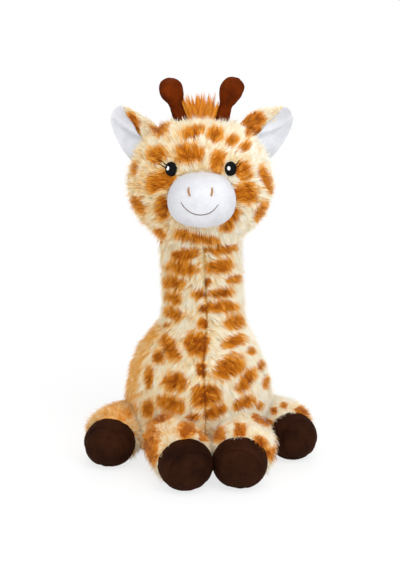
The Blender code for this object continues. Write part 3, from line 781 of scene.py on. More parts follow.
def make_body():
    skin = mesh_object("body_skin", body.points, body.faces)
    gap = np.abs(from_seam(body.points)) / MM
    # Painted shade: the backing is darker along the seam down the front
    seam_backing_shade = np.where(body.points[:, 1] < 0, 0.34 * np.exp(-(gap / 3) ** 2), 0)
    tint(skin, backing_tones(body, body_painter) * (1 - seam_backing_shade)[:, None])
    bend = ("neck", (0, 0, BEND[0]), (0, 0, BEND[1]))
    dress(skin, backing, "torso",
          ("torso_skin", "torso_stuffing", "neck_skin", "neck_stuffing"), across=bend)
    regions = (("torso_pile_front_left", 1, -1, 0, SHOULDER),
               ("torso_pile_front_right", -1, -1, 0, SHOULDER),
               ("torso_pile_back_left", 1, 1, 0, SHOULDER),
               ("torso_pile_back_right", -1, 1, 0, SHOULDER),
               ("neck_pile_front", 0, -1, SHOULDER, NECK_TOP),
               ("neck_pile_back", 0, 1, SHOULDER, NECK_TOP))
    for number, (name, side, depth, low, high) in enumerate(regions):

        def keep(p, n):
            seam = (np.abs(from_seam(p)) < 0.9 * MM) & (p[:, 1] < 0)
            return ((p[:, 0] * side >= 0) & (p[:, 1] * depth > 0) & (p[:, 2] >= low)
                    & (p[:, 2] < high) & ~seam)

        made = pile(name, body, body_painter, body_spread, 10.5, keep=keep, seed=31 + number,
                    shape=body_shape)
        dress(made, fur, "torso", across=bend)


# Head


HEAD_FRAME = Matrix.Translation(HEAD_PIVOT) @ Matrix.Rotation(HEAD_TURN, 4, "Z")
HEAD_RINGS = (
    (232, 30, 28, -5), (236, 37, 33, -6), (241, 41, 36, -6), (248, 47.5, 40, -6.5),
    (257, 56.5, 44.5, -7), (266, 63, 48, -7.5), (278, 67.6, 50.5, -8), (290, 69.2, 51.8, -7.6),
    (302, 68.2, 52, -7), (314, 64.8, 50.8, -6.6), (326, 58.6, 47.8, -6), (337, 50, 42.5, -6),
    (345, 40, 35.5, -6), (350, 29, 27, -6), (353.2, 15, 14, -6), (354.2, 4, 4, -6),
)
head = loft([(z - 292.03, *rest) for z, *rest in HEAD_RINGS], around=120, steps=6,
            matrix=HEAD_FRAME)
head_tree = head.tree()
head_seeds = hidden_seeds(head, 27 * MM, 22, keep=lambda p: p[:, 2] > 0.245)
MUZZLE_MIDDLE = HEAD_FRAME @ Vector((0, -0.063, -0.005))
HEAD_SIZE = (0.152, 0.112, 0.118)
HEAD_STEP = 0.006
PIVOT_RISE = 0.051
# An eye's place as shares of the head's half width, half depth and height, how far each
# stitched eye lies from it in mm, and an eye's half width and half height in mm
EYE_PLACE = (0.388, 0.886, 0.636)
EYE_MOVES = {"left": (-0.3, 0, -0.9), "right": (-0.9, 0, -1.0)}
EYE_HALF = (5.6, 7.0)


def head_place(across, forward, up):
    """A point of the head's frame from shares of its half width, half depth and height."""
    return Vector((across * HEAD_SIZE[0] / 2, -HEAD_STEP - forward * HEAD_SIZE[1] / 2,
                   up * HEAD_SIZE[2] - PIVOT_RISE))


def eye_frame(side_name, side):
    turn = Matrix.Rotation(math.radians(side * 18), 4, "Z")
    tilt = Matrix.Rotation(math.radians(-17), 4, "X")
    across, forward, up = EYE_PLACE
    place = head_place(side * across, forward, up) + Vector(EYE_MOVES[side_name]) * MM
    return HEAD_FRAME @ Matrix.Translation(place) @ turn @ tilt


EYE_FRAMES = {name: eye_frame(name, side) for name, side in SIDES}


def head_painter(points, normals, rng):
    return giraffe_tones(points, normals, HEAD_SPOTS, head_seeds, rng)


def head_flow(points):
    """Out from the muzzle over the face, and down the back of the head."""
    out = points - np.array(MUZZLE_MIDDLE)
    out[:, 1] += 0.02
    out[:, 2] -= 0.010
    out = unit(out)
    back = np.clip((points[:, 1] + 0.005) / 0.04, 0, 1)[:, None]
    down = np.array([0, 0, -1.0])
    return unit(out * (1 - back) + down * back)


def head_shape(roots):
    """Short pile round the eyes, swept away from them."""
    change = np.ones(len(roots))
    push = np.zeros_like(roots)
    for place in EYE_FRAMES.values():
        away = roots - np.array(place.translation)
        gap = np.linalg.norm(away, axis=1)
        near = np.clip((gap - 7 * MM) / (10 * MM), 0, 1)
        change *= 0.45 + 0.55 * near
        push += unit(away) * (1.6 * (1 - near))[:, None]
    return change, push


def head_keep(points):
    """No pile under the eyes, the muzzle, the horns, or inside the neck."""
    keep = np.ones(len(points))
    half_width, half_height = EYE_HALF
    for place in EYE_FRAMES.values():
        local = placed(points, place.inverted())
        keep[(local[:, 0] / half_width) ** 2 + (local[:, 2] / half_height) ** 2 < MM * MM] = 0
    local = placed(points, HEAD_FRAME.inverted())
    under = (local[:, 0] / 32.5) ** 2 + ((local[:, 2] + 0.005) / 25.5) ** 2 < MM * MM
    keep[under & (local[:, 1] < 0)] = 0
    keep[points[:, 2] < 0.2375] = 0
    return keep


def make_head():
    skin = mesh_object("head_skin_soft", head.points, head.faces)
    tint(skin, backing_tones(head, head_painter))
    dress(skin, backing, "head", ("head_skin", "head_stuffing"))
    regions = (("face_pile_left", 1, -1), ("face_pile_right", -1, -1), ("head_pile_left", 1, 1),
               ("head_pile_right", -1, 1))
    for number, (name, side, depth) in enumerate(regions):

        def keep(p, n):
            return head_keep(p) * (p[:, 0] * side >= 0) * ((p[:, 1] + 4 * MM) * depth > 0)

        made = pile(name, head, head_painter, head_flow, 11.0, keep=keep, seed=41 + number,
                    shape=head_shape, lift=(56, 22), scatter=18)
        dress(made, fur, "head")


# Muzzle


MUZZLE_RINGS = (
    # height above the middle, half width, half depth, middle y
    (-27.3, 6, 8, 1), (-26.2, 14.5, 16, 1), (-23, 23.2, 24, 0.5), (-17, 29.6, 29.5, 0),
    (-9, 33.0, 32.5, 0), (-2, 33.6, 33.2, 0), (6, 32.4, 32.4, 0.5), (13.5, 28.8, 29.2, 1.2),
    (19.5, 23.0, 24, 2.3), (23.2, 15.0, 16, 3.3), (24.8, 6, 7, 4),
)


def make_muzzle():
    place = Matrix.Translation(MUZZLE_MIDDLE) @ Matrix.Rotation(HEAD_TURN, 4, "Z")
    form = loft(MUZZLE_RINGS, around=80, steps=4, matrix=place)
    hidden = placed(form.points, place.inverted())[:, 1] > 8 * MM
    form = Form(swelled(form.points, form.faces, hidden, 1.5, growth=0.01), form.faces)
    piece = mesh_object("muzzle_cap", form.points, form.faces)
    subdivided(piece)
    dress(piece, white_velour, "head", ("muzzle_skin", "muzzle_stuffing"))
    tree = form.tree()
    smile = ((181, 202.2), (183.6, 206.4), (187.6, 210.4), (193, 213.6), (200.8, 215),
             (207.5, 213.8), (213.2, 210.6), (218.6, 204.2))
    dress(thread_line("smile", tree, smile, 0.42), brown_thread, "head")
    for name, column in (("left", 211.6), ("right", 189.4)):
        lean = 0.9 if name == "right" else -0.6
        nostril = ((column - lean * 0.4, 187.6), (column - lean, 190.4),
                   (column - lean * 0.3, 193.6), (column + lean, 196.4))
        dress(thread_line("nostril_" + name, tree, nostril, 1.1, ends=0.3), tan_thread,
              "head")


def surface_point(tree, column, row):
    """Where the photograph's pixel meets a surface, with the normal there."""
    start, way = pixel_ray(column, row)
    where, normal, _, _ = tree.ray_cast(start, way)
    return np.array(where), np.array(normal)


def tube(name, line, radii, sides=8):
    """A round thread along a line of points."""
    line = np.asarray(line, float)
    ways = unit(np.gradient(line, axis=0))
    across = unit(np.cross(ways, [0.2, -1.0, 0.1]))
    other = np.cross(ways, across)
    angles = np.arange(sides) * 2 * math.pi / sides
    points = [line[0]]
    for centre, a, b, radius in zip(line, across, other, radii):
        points += [centre + radius * (a * math.cos(t) + b * math.sin(t)) for t in angles]
    points.append(line[-1])
    return mesh_object(name, points, capped(len(line), sides))


def surface_line(tree, way_points, steps, rise):
    """A line over a surface along pixels of the photograph, lifted off it by a rise in mm."""
    rows = spline([np.concatenate(surface_point(tree, *p)) for p in way_points], steps)
    return rows[:, :3] + unit(rows[:, 3:]) * (rise * MM)


def thread_line(name, tree, way_points, radius, ends=0.7):
    """A thread lying on a surface along pixels, radius in mm, thinner at its ends."""
    line = surface_line(tree, way_points, 8, 0.25 * radius)
    share = np.linspace(-1, 1, len(line))
    radii = radius * MM * (ends + (1 - ends) * np.sqrt(np.clip(1 - share ** 2, 0, 1)))
    radii[0] = radii[-1] = 0.2 * radius * MM
    return tube(name, line, radii)


# Eyes


GLINTS = {"left": (-3.2, 0.0), "right": (-2.2, 0.0)}
# How high the lashes stand over the head's skin and how thick they are, in mm
LASH_HEIGHT, LASH_RADIUS = 7.6, 0.72
LASHES = {
    "right": (((170.0, 168.6), (166.6, 167.4), (163.4, 165.2)),
              ((170.8, 166.6), (168.2, 165.2), (166.2, 162.8))),
    "left": (((232.6, 168.4), (235.2, 166.8), (237.6, 164.0)),
             ((231.6, 166.2), (233.8, 164.6), (235.4, 161.8))),
}


def dome(name, place, half_width, half_height, rise, sink, offset=(0, 0, 0), rings=10, around=48):
    """A low oval cushion of stitches, facing local -Y."""
    points = []
    for k in range(rings):
        share = k / (rings - 1)
        angle = share * math.pi / 2
        for j in range(around):
            t = 2 * math.pi * j / around
            out = math.sin(angle)
            points.append((offset[0] + half_width * out * math.cos(t),
                           offset[1] - rise * math.cos(angle) ** 0.8,
                           offset[2] + half_height * out * math.sin(t)))
    for j in range(around):
        t = 2 * math.pi * j / around
        points.append((offset[0] + half_width * math.cos(t), offset[1] + sink,
                       offset[2] + half_height * math.sin(t)))
    faces = [face for row in range(rings) for face in band(row * around, around)]
    faces.append(tuple(rings * around + j for j in reversed(range(around))))
    return mesh_object(name, placed(np.array(points) * MM, place), faces)


def make_eyes():
    for name, place in EYE_FRAMES.items():
        eye = dome("eye_pad_" + name, place, *EYE_HALF, 2.6, 4.5)
        dress(eye, black_thread, "head", ("eye_" + name,))
        x, z = GLINTS[name]
        glint = dome("eye_glint_" + name, place, 1.6, 2.1, 0.6, 1.2,
                     offset=(x, -2.35, z), rings=6, around=24)
        dress(glint, white_thread, "head")
        for k, lash in enumerate(LASHES[name]):
            line = surface_line(head_tree, lash, 6, LASH_HEIGHT)
            radii = LASH_RADIUS * MM * np.linspace(1, 0.45, len(line))
            dress(tube("eyelash_%s_%d" % (name, k + 1), line, radii, 6), black_thread,
                  "head")


# Horns and tuft


HORN_PLACES = (0.276, 0.036, 0.924)
HORN_LENGTH = 39.1
# How far each horn leans outwards, in degrees
HORN_LEAN = 13.75
# How far each stem stands in from the line of its knob, in mm, by side
HORN_INSETS = {1: 1.2, -1: 2.6}
HORN_RINGS = (
    (-10, 7.6, 7.6, 0), (-4, 8.2, 8.2, 0), (0, 8.3, 8.2, 0), (8, 7.2, 7.2, 0), (16, 6.6, 6.6, 0),
    (22, 6.9, 6.8, 0), (28, 8.9, 8.6, 0), (33, 11.0, 10.6, 0), (38.8, 11.9, 11.4, 0),
    (44.2, 10.9, 10.4, 0), (48.4, 7.9, 7.5, 0), (50.8, 3.6, 3.4, 0), (51.2, 1, 1, 0),
)


def make_horns():
    across, forward, up = HORN_PLACES
    for name, side in SIDES:
        lean = Matrix.Rotation(math.radians(side * HORN_LEAN), 4, "Y")
        place = HEAD_FRAME @ Matrix.Translation(head_place(side * across, forward, up)) @ lean
        form = loft(HORN_RINGS, around=44, steps=4)
        points = form.points
        height = points[:, 2] / (HORN_LENGTH * MM)
        points[:, 0] -= side * MM * (HORN_INSETS[side] - 2.0 * np.clip(height, 0, 1.3) ** 2)
        points += form.normals * (0.25 * MM * ripple(points, 12 * MM, 60 + side))[:, None]
        points = swelled(placed(points, place), form.faces, points[:, 2] < 2 * MM, 1.0)
        piece = mesh_object("horn_velour_" + name, points, form.faces)
        subdivided(piece)
        dress(piece, rust_velour, "head",
              ("horn_%s_sleeve" % name, "horn_%s_stuffing" % name))


def locks_of_hair(name, place, base, tips, spread, per_lock, width, tone, seed):
    """Long hair in pointed locks. Each lock runs from a root on the base to its tip."""
    rng = np.random.default_rng(seed)
    count = len(base) * per_lock
    root = np.repeat(base, per_lock, 0)
    tip = np.repeat(tips, per_lock, 0)
    way = unit(tip - root)
    apart = rng.normal(size=(count, 3))
    apart -= way * np.einsum("ij,ij->i", apart, way)[:, None]
    size = np.linalg.norm(tip - root, axis=1) * rng.uniform(0.62, 1.04, count)
    lines = np.empty((count, 4, 3))
    for k, rise in enumerate(np.linspace(0, 1, 4)):
        bulge = spread * (1 - rise) ** 0.8 * (1 + 0.5 * rise) + 0.22 * spread
        lines[:, k] = root + way * (size * rise)[:, None] + apart * bulge * 0.62
    middle = base.mean(0)
    outward = unit(root + apart * spread - middle + np.array([0, -0.25 * spread, 0.45 * spread]))
    tones = tone + 0.05 * rng.normal(size=len(base))[np.repeat(np.arange(len(base)), per_lock)] \
        + 0.05 * rng.normal(size=count)
    turn = np.array(place.to_3x3())
    lines = placed(lines.reshape(-1, 3), place).reshape(lines.shape)
    return strands(name, lines, outward @ turn.T, np.clip(tones, 0, 1),
                   width * rng.uniform(0.7, 1.3, count), rng, 0.72)


def make_tuft():
    """Long strands standing up between the horns, fanned into spiky locks."""
    rng = np.random.default_rng(51)
    count = 70
    angle = np.arange(count) * 2.4 + 0.5 * rng.random(count)
    reach = np.sqrt((np.arange(count) + 0.5) / count)
    ring = np.stack([np.cos(angle), np.sin(angle)], 1) * reach[:, None]
    base = np.stack([12.0 * ring[:, 0], 8 * ring[:, 1] - 2, np.full(count, 54.0)], 1) * MM
    way = unit(np.stack([0.34 * ring[:, 0], 0.34 * ring[:, 1], np.ones(count)], 1)
               + 0.09 * rng.normal(size=(count, 3)))
    size = MM * 43 * (1 - 0.20 * reach ** 2) * rng.uniform(0.62, 1.02, count)
    made = locks_of_hair("tuft_pile", HEAD_FRAME, base, base + way * size[:, None], 2.1 * MM, 64,
                         0.44 * MM, 0.66, 52)
    dress(made, fur, "head", ("hair_tuft",))


# Ears


EAR_ROOT = (0.770, -0.179, 0.797)
EAR_WIDTH, EAR_CUP = 50.0, 9.0
EAR_LENGTHS = {1: 44.0, -1: 41.5}
EAR_LEANS = {1: 69, -1: 64}
EAR_SHARES = (
    # place from root to tip, low edge, high edge along the root line
    (-0.24, 0.04, 1.02), (0.00, 0.00, 1.08), (0.25, 0.06, 1.11), (0.50, 0.18, 1.08),
    (0.72, 0.32, 1.01), (0.88, 0.45, 0.93), (0.97, 0.56, 0.85), (1.00, 0.63, 0.78),
)
# How far the high edge lies lower on each side, as shares of the width, from root to tip
EAR_TRIMS = {
    1: ((0, 0.03), (0.25, 0.06), (0.5, 0.08), (0.72, 0.03), (0.88, 0)),
    -1: ((0, 0.13), (0.25, 0.16), (0.5, 0.11), (0.72, 0.04), (0.88, 0)),
}
# The lining's share of the ear's width, from root to tip
LINING_REACH = {
    "left": ((0, 0.57), (0.28, 0.62), (0.70, 0.74), (0.84, 0.92), (0.91, 1.0), (1, 1.0)),
    "right": ((0, 0.54), (0.28, 0.60), (0.66, 0.72), (0.80, 0.92), (0.87, 1.0), (1, 1.0)),
}
FULL_REACH = ((0, 1.0), (1, 1.0))


def ear_edges(side, ups):
    """Low and high edge of the ear at shares of its length, in mm."""
    table = spline(EAR_SHARES, 6)
    low, high = (np.interp(ups, table[:, 0], table[:, k]) for k in (1, 2))
    return EAR_WIDTH * low, EAR_WIDTH * (high - np.interp(ups, *zip(*EAR_TRIMS[side])))


def lining_reach(name, ups):
    return np.interp(ups, *zip(*LINING_REACH[name]))


def ear_frame(name, side):
    across, forward, up = EAR_ROOT
    lean = Matrix.Rotation(math.radians(side * EAR_LEANS[side]), 4, "Y")
    face = Matrix.Rotation(math.radians(side * 14), 4, "Z")
    return (HEAD_FRAME @ Matrix.Translation(head_place(side * across, forward, up)) @ face @ lean)


def ear_leaf(side, reach, thick, lift, margin, fold=0.0, rows=34, columns=28):
    """A closed leaf: its front faces local -Y, and it is cupped."""
    shares = spline(EAR_SHARES, 6)
    ups = np.linspace(0, 1, rows)
    table = shares[(ups * (len(shares) - 1)).astype(int)]
    front, back = [], []
    for up in table[:, 0]:
        low, high = ear_edges(side, up)
        low_edge, high_edge = low + margin, high - margin
        start = low_edge
        stop = low_edge + np.interp(up, *zip(*reach)) * (high_edge - low_edge)
        height = up * (EAR_LENGTHS[side] - margin)
        rim_up = min(1.0, (1.0 - up) * 9)
        for k in range(columns + 1):
            share = k / columns
            across = start + share * (stop - start)
            full = (across - low_edge) / max(high_edge - low_edge, 1e-6)
            cup = EAR_CUP * (1 - (2 * full - 1) ** 2) * (1 - up * up) * max(up, 0) * 2
            crease = (full - 0.52 + 0.36 * up) / 0.08
            dent = 0.4 * math.exp(-crease ** 2) - math.exp(-(crease - 1.5) ** 2)
            cup += fold * dent * (1 - up * up)
            plump = thick * math.sqrt(max(1 - (2 * share - 1) ** 4, 0)) * rim_up ** 0.5
            x = -side * (across - EAR_WIDTH / 2)
            front.append((x, cup - lift - plump / 2, height))
            back.append((x, cup - lift + plump / 2, height))
    count = len(front)
    faces = []
    for r in range(rows - 1):
        for k in range(columns):
            a = r * (columns + 1) + k
            quad = (a, a + 1, a + columns + 2, a + columns + 1)
            faces.append(quad if side < 0 else tuple(reversed(quad)))
            other = tuple(count + i for i in quad)
            faces.append(tuple(reversed(other)) if side < 0 else other)
    rim = [k for k in range(columns + 1)]
    rim += [r * (columns + 1) + columns for r in range(1, rows)]
    rim += [(rows - 1) * (columns + 1) + k for k in reversed(range(columns))]
    rim += [r * (columns + 1) for r in reversed(range(1, rows - 1))]
    for k, a in enumerate(rim):
        b = rim[(k + 1) % len(rim)]
        quad = (a, count + a, count + b, b)
        faces.append(quad if side < 0 else tuple(reversed(quad)))
    return np.array(front + back) * MM, faces


def make_ears():
    for name, side in SIDES:
        place = ear_frame(name, side)
        points, faces = ear_leaf(side, FULL_REACH, 3.4, -1.9, 1.2)
        leaf = Form(placed(points, place), faces)
        inverse = place.inverted()

        def spans(p):
            """Share of the length, and mm from the ear's low edge, high edge and tip."""
            local = placed(p, inverse) / MM
            ups = local[:, 2] / EAR_LENGTHS[side]
            low, high = ear_edges(side, ups)
            across = -side * local[:, 0] + EAR_WIDTH / 2
            return ups, across - low, high - across, EAR_LENGTHS[side] - local[:, 2]

        seeds = hidden_seeds(leaf, 19 * MM, 61 + side,
                             keep=lambda p: np.minimum.reduce(spans(p)[1:]) > 9)

        def painter(p, n, rng):
            """The toy's right ear is paler, with a white rim."""
            tones = giraffe_tones(p, n, EAR_SPOTS, seeds, rng, warm=0.03 if side > 0 else -0.13)
            if side > 0:
                return tones
            rim = np.clip((spans(p)[2] - 2) / 4, 0, 1)
            return tones * (0.25 + 0.75 * rim)

        skin = mesh_object("ear_skin_" + name, leaf.points, leaf.faces)
        tint(skin, backing_tones(leaf, painter))
        dress(skin, backing, "ear_" + name, ("ear_%s_outer" % name,))
        points, faces = ear_leaf(side, LINING_REACH[name], 2.6, 0.7, 0.0, fold=3.6)
        # The lining wears the darker copy of the white velour, its painted shade
        lining = mesh_object("ear_velour_" + name, placed(points, place), faces)
        dress(lining, ear_velour, "ear_" + name, ("ear_%s_lining" % name,))
        back_way = np.array(place.to_3x3() @ Vector((0, 1, 0)))
        out_way = np.array(place.to_3x3() @ Vector((-side * 0.25, 0, 1)))
        def keep(p, n):
            ups, low, high, tip = spans(p)
            full = low / np.maximum(low + high, 1)
            front = n @ back_way < 0.2
            lined = full < lining_reach(name, ups) - 0.02
            edge = np.minimum(np.minimum(low, np.where(ups > 0.8, high, 99)), tip)
            return ~(front & lined) & (edge > 1.6) & (placed(p, inverse)[:, 2] > -6 * MM)

        def shape(roots):
            """Shorter pile towards the edges that the lining reaches."""
            ups, low, high, tip = spans(roots)
            smooth_from = 0.5 if side > 0 else -1
            edge = np.minimum(np.minimum(low, np.where(ups > smooth_from, high + 3, 99)), tip)
            seam = (low / np.maximum(low + high, 1) - lining_reach(name, ups)) * EAR_WIDTH
            edge = np.minimum(edge, np.where(seam > -1, seam + 3.5, 99))
            return np.clip(edge / 10, 0.25, 1), np.zeros_like(roots)

        made = pile("ear_pile_" + name, leaf, painter, lambda p: np.tile(out_way, (len(p), 1)),
                    7.5, density=2.2, width=0.36, locks=2.2, keep=keep, seed=63 + side,
                    shape=shape, lift=(44, 12), roundness=0.7)
        dress(made, fur, "ear_" + name)


# Legs


class Leg:
    """The frame and sizes of one leg: local Z runs from its root to its hoof."""

    def __init__(self, name, side, front):
        self.name = name
        self.side = side
        self.front = front
        if front:
            self.root = Vector((side * 0.039974, -0.060014, 0.036))
            self.hoof = Vector((side * 0.0276, self.root.y - 0.052, 0.0259))
        else:
            self.root = Vector((side * 0.075998, 0.005032, 0.0285))
            self.hoof = Vector((side * 0.095998, self.root.y - 0.056, 0.0259))
        self.way = (self.hoof - self.root).normalized()
        turn = (self.hoof - self.root).to_track_quat("Z", "Y").to_matrix().to_4x4()
        self.frame = Matrix.Translation(self.root) @ turn
        self.seam = (self.hoof - self.root).length / MM - 16.5
        self.shift = (HOOF_SHIFTS["front"] if front else HOOF_SHIFTS["hind"])[side]


# How far each hoof turns to the toy's left from its leg's line, in mm, by side
HOOF_SHIFTS = {"front": {1: 1.2, -1: 4.0}, "hind": {1: 0.5, -1: -6.3}}
# The front hooves are stuffed a little fuller and further forward than their solids
FRONT_HOOF_SCALE = 1.034
FRONT_HOOF_STEP = 2.5
# Each hoof sags a little under its own weight
HOOF_SAG = 0.91
FRONT_LEG_RINGS = (
    # place along the leg as a share of the way to the hoof's seam, radius
    (-0.50, 8), (-0.42, 14), (-0.25, 19.5), (0.0, 22.8), (0.3, 24.2), (0.6, 25.2), (0.85, 25.0),
    (1.0, 24.0), (1.07, 23.0), (1.14, 20.5),
)
HIND_LEG_RINGS = (
    (-0.56, 8), (-0.5, 13), (-0.32, 19.5), (0.0, 23.0), (0.35, 24.4), (0.7, 24.8), (0.92, 24.2),
    (1.0, 23.6), (1.05, 22.6), (1.1, 20.5),
)
HIND_ROOT_DROP = 2.5
# How much fuller a front leg is on its outer side, in mm
FRONT_FULLNESS = {1: 6.0, -1: 1.5}
BAND_RINGS = (
    # mm past the fur seam, radius
    (-4.0, 20.0), (-2.5, 22.4), (0.4, 24.9), (4, 26.1), (9, 26.7), (14, 26.5), (18.5, 25.5),
    (22.3, 24.1), (24.8, 22.7), (25.9, 21.9), (26.0, 21.2), (25.2, 20.8),
)
SOLE_RINGS = (
    (24.6, 20.4), (25.7, 21.0), (27.0, 20.9), (29.4, 19.4), (32.2, 16.2), (34.8, 11.4), (36.4, 6.2),
    (36.9, 1.5),
)
HOOF_TILT = math.radians(13)


def leg_painter(seeds):
    def paint(points, normals, rng):
        columns, rows = pixels(points)
        tan = np.clip((136 - columns) / 14, 0, 1) * (points[:, 0] < -0.06)
        return giraffe_tones(points, normals, LEG_SPOTS, seeds, rng, panel=tan * 0.8, warm=0.02)
    return paint


def make_leg(leg):
    rows = FRONT_LEG_RINGS if leg.front else HIND_LEG_RINGS
    rings = [(place * leg.seam, radius, radius, 0) for place, radius in rows]
    form = loft(rings, around=88, steps=6, matrix=leg.frame)
    points = shifted(form.points, leg)
    along = placed(points, leg.frame.inverted())[:, 2] / (leg.seam * MM)
    if leg.front:
        middle = leg.root.x + (leg.hoof.x - leg.root.x) * along
        outer = np.clip(leg.side * (points[:, 0] - middle) / (24 * MM), 0, 1)
        full = np.clip(along / 0.5, 0, 1) * (1 - 0.35 * np.clip((along - 0.75) / 0.25, 0, 1))
        points[:, 0] += leg.side * FRONT_FULLNESS[leg.side] * MM * outer * full
    else:
        points[:, 2] -= HIND_ROOT_DROP * MM * np.clip(1 - along, 0, 1)
    form = Form(pressed(points, 1.0 * MM, 0.8 * MM), form.faces)
    painter = leg_painter(hidden_seeds(form, 22 * MM, 71 + leg.side + leg.front))
    skin = mesh_object(leg.name + "_soft", form.points, form.faces)
    tint(skin, backing_tones(form, painter))
    dress(skin, backing, leg.name, (leg.name + "_skin", leg.name + "_stuffing"))
    way = np.array(leg.way)
    inverse = leg.frame.inverted()

    def shape(roots):
        along = placed(roots, inverse)[:, 2] / (leg.seam * MM)
        change = 1.0 + 0.1 * np.clip((along - 0.75) / 0.25, 0, 1)
        if not leg.front:
            change *= 0.4 + 0.6 * np.clip((along + 0.1) / 0.6, 0, 1)
        return change, np.zeros_like(roots)

    def lift(roots):
        """Flat pile that stands up round the hoof."""
        along = placed(roots, inverse)[:, 2] / (leg.seam * MM)
        brim = np.clip((along - 0.72) / 0.28, 0, 1)
        return 44 + 14 * brim, 12 + 34 * brim

    def keep(points, normals):
        local = placed(points, inverse)
        return (local[:, 2] > (-6 if leg.front else -16) * MM) & (local[:, 2] < (leg.seam + 2.6) * MM)

    made = pile(leg.name + "_pile", form, painter, lambda p: np.tile(way, (len(p), 1)), 10.5,
                density=1.8, keep=keep, seed=73 + leg.side + 5 * leg.front, shape=shape, lift=lift, roundness=0.5)
    # The legs' pile casts no shadow: its material is a darker copy of the pile, with painted shade in place of
    # the shadow
    made.visible_shadow = False
    dress(made, shaded_leg_fur, leg.name)


def pressed(points, low, soft):
    """Points rounded off softly where they would go under a height."""
    out = points.copy()
    out[:, 2] = low + soft * np.logaddexp(0, (points[:, 2] - low) / soft)
    return out


def shifted(points, leg):
    along = placed(points, leg.frame.inverted())[:, 2] / (leg.seam * MM)
    share = np.clip(along, 0, 1)
    out = points.copy()
    out[:, 0] += leg.shift * MM * share * share * (3 - 2 * share)
    return out


def tilted(points, leg):
    """The hoof bends up from its seam, so that its sole looks a little upwards."""
    local = placed(points, leg.frame.inverted())
    bend = np.clip((local[:, 2] / MM - leg.seam) / 20, 0, 1)
    angle = HOOF_TILT * bend * bend * (3 - 2 * bend)
    level = np.array((leg.way.y, -leg.way.x, 0.0))
    level /= np.linalg.norm(level)
    arm = points - np.array(leg.hoof)
    up = np.array([0, 0, 1.0])
    out = np.cross(up, level)
    if out @ np.array(leg.way) < 0:
        out = -out
    a, b = arm @ out, arm @ up
    along = a * np.cos(angle) - b * np.sin(angle)
    high = a * np.sin(angle) + b * np.cos(angle)
    return points + np.outer(along - a, out) + np.outer(high - b, up)


def make_hoof(leg):
    """Velour band round the hoof, and a domed sole set in a seam ring."""
    for label, rows, node in (("band", BAND_RINGS, "_hoof_band"), ("sole", SOLE_RINGS, "_hoof_sole")):
        rings = [(leg.seam + place, radius, radius, 0) for place, radius in rows]
        form = loft(rings, around=72, steps=3, matrix=leg.frame)
        axis = form.points - np.array(leg.hoof)
        soft = 0.006 * ripple(form.points, 20 * MM, 80 + leg.side + 2 * leg.front)
        points = shifted(tilted(form.points + axis * soft[:, None], leg), leg)
        if leg.front:
            middle = np.array(leg.hoof)
            points = middle + (points - middle) * FRONT_HOOF_SCALE
            points[:, 1] -= FRONT_HOOF_STEP * MM
        points[:, 2] *= HOOF_SAG
        points = pressed(points, 0.4 * MM, 1.5 * MM)
        if label == "band":
            along = placed(form.points, leg.frame.inverted())[:, 2] / MM - leg.seam
            points = swelled(points, form.faces, (along < 1) | (along > 25), 1.2)
            points = pressed(points, 0.4 * MM, 0.5 * MM)
        piece = mesh_object(leg.name + "_hoof_" + label + "_velour", points, form.faces)
        subdivided(piece)
        dress(piece, dark_velour, leg.name, (leg.name + node,))


# Tail


def make_tail():
    turn = Matrix.Rotation(math.radians(-126), 4, "X")
    place = Matrix.Translation((0, 0.0818, 0.045)) @ turn
    rings = ((-6.5, 2, 2, 0), (-5, 4.4, 4.4, 0), (0, 5.4, 5.4, 0), (8, 4.6, 4.6, 0), (20, 4.2, 4.2, 0),
             (34, 4.0, 4.0, 0), (41, 3.6, 3.6, 0), (43, 1.5, 1.5, 0))
    form = loft(rings, around=40, steps=5, matrix=place)

    def painter(points, normals, rng):
        return np.clip(PANEL + 0.05 * ripple(points, 8 * MM, 9) + 0.05 * rng.normal(size=len(points)), 0, 1)

    skin = mesh_object("tail_soft", form.points, form.faces)
    tint(skin, backing_tones(form, painter))
    dress(skin, backing, "tail", ("tail",))
    way = np.array(place.to_3x3() @ Vector((0, 0, 1)))
    made = pile("tail_pile", form, painter, lambda p: np.tile(way, (len(p), 1)), 6.5, density=2.2,
                seed=91, width=0.4)
    dress(made, fur, "tail")
    rng = np.random.default_rng(92)
    count = 16
    angle = np.arange(count) * 2.4
    ring = np.stack([np.cos(angle), np.sin(angle)], 1) * np.sqrt((np.arange(count) + 0.5) / count)[:, None]
    base = np.hstack([3.0 * ring, np.full((count, 1), 38.0)]) * MM
    way = unit(np.hstack([0.26 * ring, np.ones((count, 1))]) + 0.05 * rng.normal(size=(count, 3)))
    size = MM * 28 * rng.uniform(0.8, 1.0, count)
    tuft = locks_of_hair("tail_tuft_pile", place, base, base + way * size[:, None], 1.9 * MM, 90,
                         0.5 * MM, 0.66, 93)
    dress(tuft, fur, "tail", ("tail_tuft",))


# Stage


